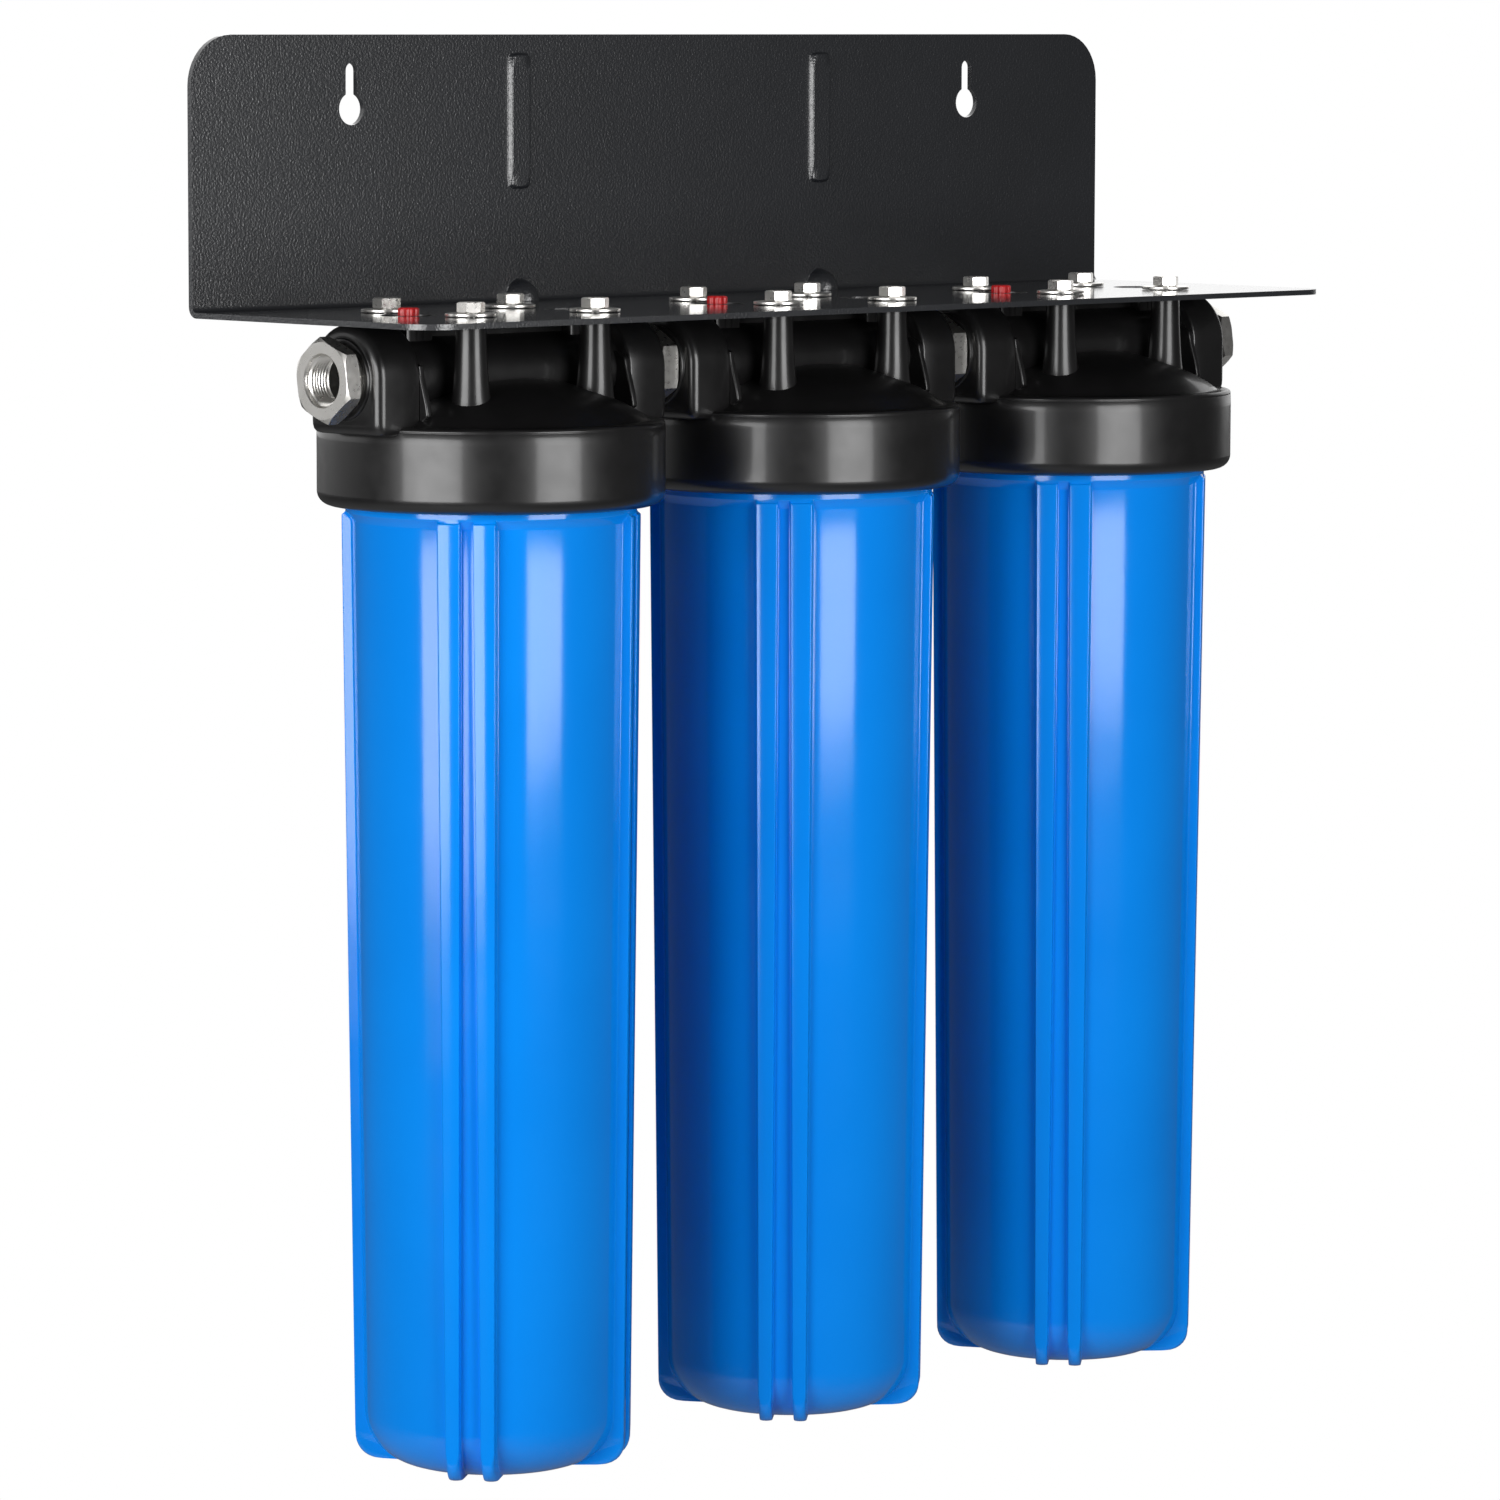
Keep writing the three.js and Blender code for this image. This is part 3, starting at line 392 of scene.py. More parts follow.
def sump_lines():
    """Matching rows of the body's profile and the fin's outline, each as radius and height. They are
    the same line above the ribs and under the bottom, and part between."""
    shoulder = joined_lines([[77, -98.5]], arc(75.8, -101.0, 1.2, 0, -52, 4), [[73.75, -105.9]])
    upright = between([73.55, RIB_TOP], [68.45, -578.0], 16)
    corner = arc(40.4, -582.6, 28.0, 0, -86, 16)
    shallow = np.array([40.5, 38.5, 37, 36, 35, 28, 18, 8, 3, 0], float)
    shallow = np.stack([shallow, -611 + 0.5 * (shallow / 42.35) ** 2.6], -1)
    body = joined_lines(shoulder, [[73.65, -106.4], [73.6, -106.7]], upright, corner, shallow)

    fin_top = np.array([[76.6, -102.9], [77.2, -103.05], [77.5, -103.4], [77.6, -103.9], [77.6, -105.2]])
    narrowing = 5.1 / 504.0
    fin_x = lambda height: WIDEST + narrowing * (height - RIB_TOP)
    straight = np.linspace(-581.0, FIN_FOOT + FIN_CORNER, 10)
    foot = fin_x(FIN_FOOT)
    fin_corner = arc(foot - FIN_CORNER, FIN_FOOT + FIN_CORNER, FIN_CORNER, 0, -90, 7)[1:]
    fin_flat = [[56.0, FIN_FOOT], [51.0, FIN_FOOT], *shallow[2:4]]
    fin = joined_lines(
        shoulder[:3], fin_top, [[77.6, -106.7]], np.stack([fin_x(upright[:, 1]), upright[:, 1]], -1),
        np.stack([fin_x(straight), straight], -1), fin_corner, fin_flat, shallow[4:])
    return body, fin


body_line, fin_line = sump_lines()
print("rows of the two lines:", len(body_line), len(fin_line))

# %% The sump's columns
def sump_columns(half, rim):
    """Across one quarter: for each column its place across the ribs in mm, or its share of the way
    between two pairs; its height on the flank as a share of the rib, and in mm over the body or
    under the rib's top. A rib's foot has a small hollow fillet, and its top corners are rounded with
    radius rim: place = -half + rim (1 - cos a), height under the top = rim (1 - sin a)."""
    foot_place = -half - np.array([2.6, 1.5, 0.85, 0.4, 0.13, 0.0])
    foot_height = np.array([0.0, 0.0, 0.05, 0.18, 0.45, 0.85])
    a = np.radians([0, 22, 44, 66, 90])
    top_place = -half + rim * (1 - np.cos(a))
    top_under = rim * (1 - np.sin(a))
    place = np.concatenate([foot_place, top_place, [0.0], -top_place[::-1], -foot_place[::-1]])
    over = np.concatenate([foot_height, np.full(11, np.nan), foot_height[::-1]])
    under = np.concatenate([np.full(6, np.nan), top_under, [0.0], top_under[::-1], np.full(6, np.nan)])
    return place, over, under


print("columns across one rib:", len(sump_columns(half=4.0, rim=0.6)[0]))


# %% The sump's skin
def sump_skin():
    """Rows x columns of the outer skin. In the quarter's own frame a body point is
    (r cos t, r sin t) with t = asin(place / r) across the ribs, and t even between the pairs. A rib
    narrows on its way down, from 11.8 mm to 7.4 mm, so that the sump comes out of its mould. A fin
    point is (outline, place). The skin is body + share (fin - body)."""
    rows = len(body_line)
    r, z = body_line[:, 0], body_line[:, 1]
    fin_r, fin_z = fin_line[:, 0], fin_line[:, 1]
    rise = np.maximum(np.hypot(fin_r - r, fin_z - z), 1e-6)
    below_seam = fin_z < SEAM
    half = np.where(below_seam, 3.4, 3.7 + 2.2 * (fin_z - SEAM) / (RIB_TOP - SEAM))
    rim = np.interp(fin_z, [FIN_FOOT, -605, -598, -592], [3.5, 3.4, 1.4, 0.6])
    ribs = [sump_columns(h, m) for h, m in zip(half, rim)]
    one_place = np.array([rib[0] for rib in ribs])
    one_over, one_under = ribs[0][1], np.array([rib[2] for rib in ribs])
    share_over = np.minimum(one_over[None, :] / rise[:, None], 1)
    share_under = np.maximum(1 - one_under / rise[:, None], 0)
    one_share = np.where(np.isnan(one_over)[None, :], share_under, share_over)
    one_share = np.where(rise[:, None] < 0.05, 0, one_share)
    gap = np.linspace(-1, 1, 7)[None, 1:-1] * (RIB_MIDDLE - half[:, None] - 2.6)
    across = np.concatenate([one_place - RIB_MIDDLE, gap, one_place + RIB_MIDDLE], 1)
    share = np.concatenate([one_share, np.zeros_like(gap), one_share], 1)
    dip = 0.16 * np.exp(-((np.abs(across) - RIB_MIDDLE) / 5.0) ** 2) * (rise[:, None] > 3)
    reach = np.maximum(r, 40.0)[:, None]
    angle = np.arcsin(across / reach)
    body_r = r[:, None] - dip
    x = body_r * np.cos(angle)
    y = body_r * np.sin(angle)
    x = x + share * (fin_r[:, None] - x)
    y = y + share * (across - y)
    height = z[:, None] + share * (fin_z - z)[:, None]
    edge = angle[:, -1:]
    between_pairs = np.linspace(0, 1, 37)[None, 1:-1]
    open_angle = edge + (np.pi / 2 - 2 * edge) * between_pairs
    x = np.concatenate([x, r[:, None] * np.cos(open_angle)], 1)
    y = np.concatenate([y, r[:, None] * np.sin(open_angle)], 1)
    height = np.concatenate([height, np.broadcast_to(z[:, None], (rows, 35))], 1)
    quarter = np.arange(4)[None, :, None] * np.pi / 2
    c, s = np.cos(quarter), np.sin(quarter)
    outer = [x[:, None] * c - y[:, None] * s, x[:, None] * s + y[:, None] * c, height[:, None]]
    return np.stack(np.broadcast_arrays(*outer), -1).reshape(rows, -1, 3)


outer_rows = sump_skin()
print("outer skin of a sump:", outer_rows.shape)


# %% [markdown]
# ## Sump: neck and inside
# Above its shoulder the sump goes on as a neck with a groove for the O-ring, and its inside is a
# plain bowl with a spigot that carries the cartridge. These rows use the same columns as the outer
# skin, so the whole sump is one closed surface. Its coarse thread is a ridge of its own, carried
# along a helix.

# %% Sumps
NECK = 79.4
THREAD_PITCH = 6.5
RIB_TURN = 41.0
SCREWED_HOME = [-2.4, 1.4, 0.0]


def sump_inside():
    """Rows from the shoulder up over the neck's rim, down the inside and up the spigot."""
    neck = softened([[77, -98.5], [77, -97.2], [81.2, -93.4], [81.2, -92.4], [NECK, -91.8], [NECK, -70.8],
                     [80.3, -70.0], [80.3, -62.4], [79.8, -62.3], [79.3, -62.3], [79.3, -67.9],
                     [74.3, -67.9], [74.3, -62.3], [68.5, -62.3], [68.0, -63.2], [68.0, -107],
                     [62.95, -579]], 0.4, 2)
    bowl = joined_lines(arc(40.4, -582.6, 22.5, 0, -84, 9), [[36, -605.1], [24, -605.2], [21.4, -605.2],
                        [20.6, -604.4], [17.2, -582], [16.4, -581.2], [0, -581.2]])
    return joined_lines(neck, bowl)


def helix_ridge(radius, low, high, pitch, start, section, steps=72):
    """A closed ridge carried along a helix that climbs a pitch a turn. Its section, pairs of outward
    and upward mm, shrinks to a point over the first and last sixth of a turn."""
    turns = (high - low) / pitch
    u = np.linspace(0, turns, int(turns * steps) + 1)
    size = np.clip(np.minimum(u, turns - u) * 6, 0, 1)[:, None]
    section = np.asarray(section, float)
    out = radius + (section[None, :, 0] - section[0, 0]) * size
    up = low + u[:, None] * pitch + section[None, :, 1] * size
    angle = math.radians(start) + 2 * np.pi * u[:, None]
    return skin(np.stack([out * np.cos(angle), out * np.sin(angle), up], -1))


inside = sump_inside()
outer_angle = np.arctan2(outer_rows[0, :, 1], outer_rows[0, :, 0])
inner_rows = np.stack([
    inside[:, :1] * np.cos(outer_angle), inside[:, :1] * np.sin(outer_angle),
    np.broadcast_to(inside[:, 1:], (len(inside), len(outer_angle)))], -1)
sump = skin(np.concatenate([outer_rows[::-1], inner_rows[1:]]))
male = [[0, 0], [-0.4, 1.5], [2.2, 0.8], [2.2, -0.8], [-0.4, -1.5]]
sump_thread = helix_ridge(NECK, -90.0, -72.2, THREAD_PITCH, 0, male)
for number, (x, more) in enumerate(zip(STAGES, SCREWED_HOME), 1):
    make_piece(f"sump_shell_{number}", [moved(sump, x, ROW, SHELF_UNDER, RIB_TURN + more)],
               blue_plastic, f"housing_{number}", [f"sump_{number}"])
    make_piece(f"sump_thread_{number}", [moved(sump_thread, x, ROW, SHELF_UNDER, RIB_TURN)],
               blue_plastic, f"housing_{number}")
print("sump quads:", len(sump[1]))

# %% [markdown]
# ## Head: bell, posts and pipe
# A head is one moulding. Its bell is turned: a low dome, a skirt with rounded edges, and inside it
# the seat for the sump and the spigot for the cartridge. Four posts stand on the dome and a round
# pipe crosses it. They could be merged by a boolean, but overlapping closed skins of one plastic
# look the same and keep clean shading.

# %% The bell
DOME = np.array([[0, -30], [18, -30.6], [38, -33.6], [58, -39.8], [70, -44.6], [79, -49.6],
                 [83.5, -52.8], [84.6, -53.4]])
SKIRT_BORE = 83.0
SPIGOT_BORE = 11.0
POST_RADIUS = 8.0
POST_END = -46.0
BLOCK_HALF, DISC, DISC_UNDER, DISC_TOP = 9.0, 14.3, -0.9, 2.2


def dome_height(distance):
    """Height of the dome over a distance from the axis, read off its profile."""
    return np.interp(distance, DOME[:, 0], DOME[:, 1])


def bell_skin():
    """The bell's profile spun about its axis, from the dome's top round to the spigot's bore."""
    skirt = joined_lines(
        [[88.0, -53.25]], arc(89.9, -55.3, 2.0, 86, 6, 7),
        [[91.7, -55.5], [91.72, -55.8], [91.95, -56.1]],
        between([92, -56.4], [92, -90.4], 6), arc(84.6, -90.5, 7.4, 0, -86, 9), [[84.2, -97.95]])
    inner = softened([[83.6, -98], [SKIRT_BORE, -97.2], [SKIRT_BORE, -62], [70, -62], [70, -57],
                      [54, -47.5], [21.2, -47.5], [17.2, -71.4], [16.4, -72], [11.6, -72],
                      [SPIGOT_BORE, -71.4], [SPIGOT_BORE, -36], [0, -36]], 0.6, 2)
    return turned(joined_lines(DOME, skirt, inner), 180)


def post_skin(x, y, columns=40):
    """A post with a slight draft and a small fillet on the dome. With s the share of the way down, its
    radius grows by 2.1 s^1.7, and by a further 0.4 s^20 near the dome. Its rings tilt on the way, until
    the last one follows the dome."""
    s = np.concatenate([[0, 0, 0.01, 0.03], np.linspace(0.1, 0.8, 6), np.linspace(0.84, 1, 7)])[:, None]
    rim = np.array([POST_RADIUS, 0.7, 0.2, 0] + [0] * 13)[:, None]
    radius = POST_RADIUS + 2.1 * s ** 1.7 + 0.4 * s ** 20 - rim
    angle = round_angles(columns)
    px, py = x + radius * np.cos(angle), y + radius * np.sin(angle)
    top = -0.4 - np.array([0, 0, 0, 0.4] + [0.4] * 13)[:, None]
    pz = (1 - s) * top + s * (dome_height(np.hypot(px, py)) - 0.6)
    rings = np.stack([px, py, pz], -1)
    sunk = rings[-1:] * [1, 1, 0] + [0, 0, POST_END]
    return skin(np.concatenate([rings, sunk, np.broadcast_to([[[x, y, POST_END]]], sunk.shape)]))


def pipe_skin():
    """The cross pipe along X, closed at its ends, which lie inside the bosses."""
    return moved(laid_along_x(turned([[0, -75.5], [21, -75.5], [21, 75.5], [0, 75.5]], 96), 1), z=PORT)


def spine_skin(start, end):
    """An upright rib on top of the pipe that reaches up to the shelf."""
    return slab([[start, -2.5], [end, -2.5], [end, 2.5], [start, 2.5]], -26.0, -0.4, 0.5)


def relief_boss(x, columns=72):
    """A square block on the pipe that ends in a disc inside the shelf's hole, nearly flush with its
    top. The left one holds the relief valve's pocket."""
    valve_pocket = [[6.4, DISC_TOP], [6.4, -1], [5.4, -1], [5.4, -15.8], [0, -15.8]]
    pocket = valve_pocket if x < 0 else [[0, DISC_TOP]]
    profile = softened([[0, -26], [BLOCK_HALF, -26], [BLOCK_HALF, DISC_UNDER], [DISC, DISC_UNDER],
                        [DISC, DISC_TOP], *pocket], 0.4, 3)
    radius, height = profile[:, :1], profile[:, 1:]
    angle = round_angles(columns)
    square = (np.abs(np.cos(angle)) ** 16 + np.abs(np.sin(angle)) ** 16) ** (-1 / 16)
    radius = np.where((height < DISC_UNDER - 0.3) & (radius > 5.8), radius * square, radius)
    return moved(skin(rings_about(radius, height, columns)), x)


print("dome at the bolts:", round(float(dome_height(np.hypot(43.65, 33.35))), 1))

# %% [markdown]
# ## Head: port bosses
# Each port is an arched block with big soft edges that ends in a thin raised collar, and a flared
# web stands behind it. The block's outline is a half circle above the port and a box below it. Its
# skin runs from the back over the rounded front edge, across the face to the collar's circle, and
# into the bore. All rings share one set of angles, so any two of them can be joined.

# %% Port bosses
BOSS_HALF, BOSS_FOOT, BOSS_ARCH, COLLAR = 28.0, 28.5, 0.6, 21.5
BOSS_BACK, BOSS_FRONT, BOSS_SOFT = 74.0, 102.0, 5.0
PORT_BORE = 16.9


def arch_radius(angle, inset):
    """Distance from the port's axis to the arch drawn in by inset. Upwards it is a round arch whose
    centre lies a little over the axis, rise sin + sqrt(half^2 - (rise cos)^2), or its side, half / cos.
    Below it is (|cos / half|^16 + |sin / foot|^16)^(-1/16), a box with slightly rounded corners."""
    c, s = np.cos(angle), np.sin(angle)
    half, foot = BOSS_HALF - inset, BOSS_FOOT - inset
    side = half / np.maximum(np.abs(c), 1e-6)
    arch = BOSS_ARCH * s + np.sqrt(np.maximum(half ** 2 - (BOSS_ARCH * c) ** 2, 0))
    box = (np.abs(c / half) ** 16 + np.abs(s / foot) ** 16) ** (-1 / 16)
    return np.where(s < 0, box, np.where(side * s < BOSS_ARCH, side, arch))


def port_ring(along, radius, columns=144):
    """A ring about the port's axis. Its place along X and its radius may change with the angle."""
    angle = round_angles(columns)
    along, radius = np.broadcast_to(along, columns), np.broadcast_to(radius, columns)
    return np.stack([along, radius * np.cos(angle), PORT + radius * np.sin(angle)], -1)


def boss_skin(columns=144):
    """From the closed back over the rounded front edge, across the face to the collar, and into the
    bore. Where the collar stands on the rounding, the rings stop at the collar."""
    angle = round_angles(columns)
    insets = BOSS_SOFT * (1 - np.cos(np.radians(np.linspace(0, 90, 9))))
    reach = np.array([arch_radius(angle, inset) for inset in insets])
    met = np.array([np.interp(COLLAR + 0.25, column[::-1], insets[::-1]) for column in reach.T])
    front = []
    for inset in insets:
        kept = np.minimum(inset, met)
        along = BOSS_FRONT - BOSS_SOFT + np.sqrt(BOSS_SOFT ** 2 - (BOSS_SOFT - kept) ** 2)
        radius = np.array([np.interp(value, insets, column) for value, column in zip(kept, reach.T)])
        front.append(port_ring(along, radius))
    root = front[-1][:, 0]
    rear = [(BOSS_BACK, 1.2), (BOSS_BACK + 0.4, 0.4), (BOSS_BACK + 1.2, 0), (86.0, 0)]
    back = [port_ring(BOSS_BACK, 0)] + [port_ring(along, arch_radius(angle, inset)) for along, inset in rear]
    inwards = [(root, COLLAR + 0.25), (root + 0.2, COLLAR), (PORT_FACE - 0.6, COLLAR),
               (PORT_FACE - 0.15, COLLAR - 0.2), (PORT_FACE, COLLAR - 0.6), (PORT_FACE, 18.2),
               (PORT_FACE - 0.3, 17.5), (PORT_FACE - 1.2, 17.0), (PORT_FACE - 2, PORT_BORE),
               (79, PORT_BORE), (79, 0)]
    return skin(np.stack([*back, *front, *[port_ring(along, radius) for along, radius in inwards]]))


def web_skin():
    """The flared web: a thin slab, flush with the boss beside the port, that widens towards its foot."""
    side = np.array([[27.0, -22], [28.0, -27], [29.6, -32], [31.6, -38], [33.0, -43], [33.9, -48],
                     [30.5, -49.5], [29, -60]])
    outline = softened(joined_lines(side, side[::-1] * [-1, 1], [[-12, -16], [12, -16]]), 1.5, 3)
    points, quads = slab(outline, 70.6, 74.2, 0.9, 4)
    return points[:, [2, 0, 1]], quads


print("points of a boss and of a web:", len(boss_skin()[0]), len(web_skin()[0]))

# %% Heads
female = [[0, 0], [0.4, 1.5], [-2.2, 0.8], [-2.2, -0.8], [0.4, -1.5]]
skirt_thread = helix_ridge(SKIRT_BORE, -93.25, -73.0, THREAD_PITCH, RIB_TURN + 180, female)
for number, x in enumerate(STAGES, 1):
    ports = [boss_skin(), web_skin()]
    parts = [bell_skin(), pipe_skin(), relief_boss(-RELIEF), relief_boss(RELIEF), skirt_thread]
    parts += [spine_skin(-93.5, -64.8), spine_skin(-50.2, 93.5)]
    parts += [post_skin(*bolt) for bolt in BOLTS]
    parts += [moved(part, turn=turn) for part in ports for turn in (0, 180)]
    make_piece(f"head_shell_{number}", [moved(part, x, ROW, SHELF_UNDER) for part in parts], black_plastic,
               "frame", [f"head_{number}"], sharp=40)
print("heads made:", len(STAGES))

# %% [markdown]
# ## Threads and hexes
# A pipe thread's crest climbs as it goes round, so its grid is sheared: each row starts one pitch
# over one turn higher at the far end of its round, and meets a later row there. That keeps crests
# and roots on the rows, where a level grid would cut across them. A hex with turned-off corners is
# a six-sided ring that a cone trims: where the cone lies inside the hexagon, it wins.

# %% Threads
def threaded(base, depth, pitch, low, high, columns=72, steps=8, fade=1.4):
    """Skin of a screw thread about Z. Row j holds height = low + (j / steps - share of the round) pitch,
    kept between low and high, and radius = base + depth tooth(j / steps) times a fade at both ends."""
    rows = (int(math.ceil((high - low) / pitch)) + 1) * steps + 1
    j, i = np.mgrid[0:rows, 0:columns]
    height = np.clip(low + (j / steps - i / columns) * pitch, low, high)
    tooth = np.clip(1.25 * (1 - np.abs(2 * (j / steps % 1) - 1)) - 0.12, 0, 1)
    ease = np.clip(np.minimum(height - low, high - height) / fade, 0, 1)
    radius = base + depth * tooth * ease
    angle = 2 * np.pi * i / columns
    points = np.stack([radius * np.cos(angle), radius * np.sin(angle), height], -1).reshape(-1, 3)
    j, i = np.mgrid[0:rows - 1, 0:columns]
    fall = np.where(i + 1 == columns, steps, 0)
    beside = (i + 1) % columns
    quads = np.stack([j * columns + i, np.maximum(j - fall, 0) * columns + beside,
                      np.maximum(j + 1 - fall, 0) * columns + beside, (j + 1) * columns + i], -1)
    return points, quads.reshape(-1, 4)


def hex_rings(across, low, high, trim, columns=72):
    """Rings of a hexagon whose corners are turned off by a cone of 30 degrees at both ends. Its radius
    at an angle is half across / cos(angle from the nearest flat's middle)."""
    flat = np.remainder(round_angles(columns) + np.pi / 6, np.pi / 3) - np.pi / 6
    radius = across / 2 / np.cos(flat)
    face = np.minimum(radius, trim)
    soft = 0.15
    lead = (radius - face) * math.tan(math.radians(30)) + soft
    wide = [face - 0.2, face, radius, radius, face, face - 0.2]
    height = np.broadcast_arrays(low, low + soft, low + lead, high - lead, high - soft, high)
    return rings_about(np.stack(wide), np.stack(height), columns)


print("rings of a hex:", hex_rings(39.5, 0, 9.4, 20.3).shape)

# %% [markdown]
# ## Fittings
# The row starts and ends in a reducing bushing: a hex outside, a male thread into the head and a
# smaller female thread for the house's pipe. Hex nipples join one head to the next. Their threads
# are real one inch and three quarter inch pipe threads of 11.5 and 14 turns to the inch.

# %% Bushings
INCH = 25.4
BUSHING_HEX = 39.5
HEX_END = 116.8
MALE_ROOT, FEMALE_ROOT, NARROW_BORE = 15.0, 13.4, 12.2


def male_pipe_thread(low, high):
    return threaded(MALE_ROOT, 1.3, INCH / 11.5, low, high)


def bushing_skin():
    """From the hex's outer face at height 0 to the end of the male thread at 30.8."""
    outside = np.concatenate([rings_of([[14.2, 0], [17.6, 0]]), hex_rings(BUSHING_HEX, 0, 9.4, 20.3),
                              rings_of([[15.4, 9.4], [MALE_ROOT, 10]])])
    link = rings_of([[MALE_ROOT, 30.1], [14.9, 30.1]])
    end = rings_of([[14.9, 30.1], [14.2, 30.8], [12.8, 30.8], [NARROW_BORE, 30.1], [NARROW_BORE, 15.2],
                    [FEMALE_ROOT, 14.1]])
    mouth = rings_of([[FEMALE_ROOT, 1.4], [13.45, 1.2], [14.1, 0.15], [14.2, 0]])
    female_thread = threaded(FEMALE_ROOT, -1.5, INCH / 14, 1.4, 14.1)
    return together(skin(outside), male_pipe_thread(10.0, 30.1), skin(link), skin(end), female_thread,
                    skin(mouth))


bushing = bushing_skin()
for name, side, x in (("inlet", -1, STAGES[0]), ("outlet", 1, STAGES[-1])):
    points, quads = bushing
    points = points * [1, 1, -1] + [0, 0, HEX_END]
    laid = laid_along_x(moved((points, quads), turn=8), side)
    make_piece(f"{name}_reducing_bushing", [moved(laid, x, ROW, SHELF_UNDER + PORT)], stainless,
               "frame", [f"{name}_bushing"], sharp=28)
print("bushing quads:", len(bushing[1]))

# %% Nipples
def nipple_skin():
    """A hex in the middle, a male thread on each side and a plain bore, mirrored about height 0."""
    outside = np.concatenate([rings_of([[MALE_ROOT, -6.6], [15.4, -6]]),
                              hex_rings(BUSHING_HEX, -6, 6, 20.9),
                              rings_of([[15.4, 6], [MALE_ROOT, 6.6]])])
    end = np.array([[MALE_ROOT, 24.0], [14.2, 25.0], [12.8, 25.0], [NARROW_BORE, 24.4]])
    ends = [skin(rings_of(end * [1, side])) for side in (-1, 1)]
    bore = skin(rings_of([[NARROW_BORE, -24.4], [NARROW_BORE, 24.4]]))
    threads = [male_pipe_thread(*span) for span in ((6.6, 24.0), (-24.0, -6.6))]
    return together(skin(outside), *ends, bore, *threads)


nipple = nipple_skin()
for number in (1, 2):
    x = (STAGES[number - 1] + STAGES[number]) / 2
    laid = laid_along_x(nipple, 1)
    make_piece(f"hex_nipple_{number}", [moved(laid, x, ROW, SHELF_UNDER + PORT)], stainless,
               "frame", [f"nipple_{number}"], sharp=28)
print("nipple quads:", len(nipple[1]))

# %% [markdown]
# ## Bolts and washers
# Twelve hex bolts with wide washers hold the heads to the shelf. Their heads are the same hexagon
# with turned-off corners, closed on top, and the washers are turned rings with soft rims.

# %% Bolts and washers
def bolt_skin():
    """Heights over the shelf's underside: the hex from 5.2 to 10.7, and a shank down to -20."""
    head_rings = hex_rings(13.0, 5.2, 10.7, 6.75, 48)[::-1]
    cap = rings_of([[0, 10.75], [3, 10.75]], 48)
    shank = rings_of([[4, 5.2], [4, -19.4], [3.4, -20], [0, -20]], 48)
    return skin(np.concatenate([cap, head_rings, shank]))


def washer_skin():
    """A ring 1.6 mm thick with rounded rims."""
    profile = softened([[4.6, 4.1], [4.6, 3.3], [13.5, 3.3], [13.5, 4.9], [4.6, 4.9], [4.6, 4.1]], 0.35, 2)
    return turned(profile[:-1], 64, closed=True)


for number, x in enumerate(STAGES, 1):
    for place_number, (dx, dy) in enumerate(BOLTS, 1):
        where = (x + dx, ROW + dy, SHELF_UNDER)
        make_piece(f"hex_bolt_{number}_{place_number}", [moved(bolt_skin(), *where)], stainless,
                   "frame", [f"bolt_{number}_{place_number}"], sharp=25)
        make_piece(f"flat_washer_{number}_{place_number}", [moved(washer_skin(), *where)], stainless,
                   "frame", [f"washer_{number}_{place_number}"])
print("bolts, each with a washer:", len(STAGES) * len(BOLTS))

# %% [markdown]
# ## Relief buttons
# Each head's pressure relief valve ends in a small red push button. Its side is fluted, so the
# radius swings between two values ten times round, and the flutes run out in the rounded top.

# %% Buttons
FLUTES, FLUTE_DEPTH = 10, 0.7


def button_skin(columns=120):
    """Rows of radius, height and share of the flutes. The flutes draw the radius in by
    0.7 (0.5 - 0.5 cos 10 angle)^0.7 times that share, which is 1 on the side and 0 at the top's middle."""
    flute = (0.5 - 0.5 * np.cos(FLUTES * round_angles(columns))) ** 0.7
    rows = np.array([[0, 7.05, 0], [2.5, 7.2, 0], [4.2, 7.2, 0.2], [5.1, 7.0, 0.7], [5.5, 6.5, 1],
                     [5.6, 5.9, 1], [5.6, 2.9, 1], [2, 2.8, 0], [2, -20.5, 0], [4.4, -20.5, 0],
                     [4.4, -22.5, 0], [0, -22.5, 0]])
    radius = rows[:, :1] - FLUTE_DEPTH * rows[:, 2:] * flute
    return skin(rings_about(radius, rows[:, 1:2], columns))


for number, x in enumerate(STAGES, 1):
    make_piece(f"push_button_{number}", [moved(button_skin(), x - RELIEF, ROW, SHELF_UNDER)],
               red_plastic, f"relief_{number}", [f"relief_button_{number}"], sharp=40)
print("button quads:", len(button_skin()[1]))

# %% [markdown]
# ## Bracket: a sheet that is drawn flat and then folded
# The bracket is cut flat, pressed and folded once, so it is modelled that way. Its outline and
# holes are drawn on the flat sheet, where x runs along the row and s down the plate, round the fold
# and out over the shelf. A constrained triangulation fills it, a formula folds it, and the Solidify
# and Bevel modifiers give it its 3 mm and its softened edges.

# %% Fold and presses
RISE, FOLD, SHEET, SHELF_RUN = 142.0, 3.0, 3.0, 183.0
ARC = FOLD * np.pi / 2
SHELF_END = RISE + ARC + SHELF_RUN
PLATE_TOP = 72.5
RIB_X, RIB_S, RIB_REACH, RIB_HALF, RIB_CORNER = 115.0, 47.0, 37.0, 8.0, 4.0
RIB_HEIGHT, RIB_FLANK = 2.3, 1.5
GUSSET_REACH, GUSSET_HALF = 12.0, 10.0


def folded(s):
    """Y, Z and the outward normal of the sheet's front at a distance s down from the plate's top: a
    straight drop, a quarter round of 3 mm, and a straight way out."""
    a = np.clip((s - RISE) / FOLD, 0, np.pi / 2)
    out = np.maximum(s - RISE - ARC, 0)
    y = -SHEET - FOLD * (1 - np.cos(a)) - out
    z = PLATE_TOP - np.minimum(s, RISE) - FOLD * np.sin(a)
    return y, z, -np.cos(a), np.sin(a)


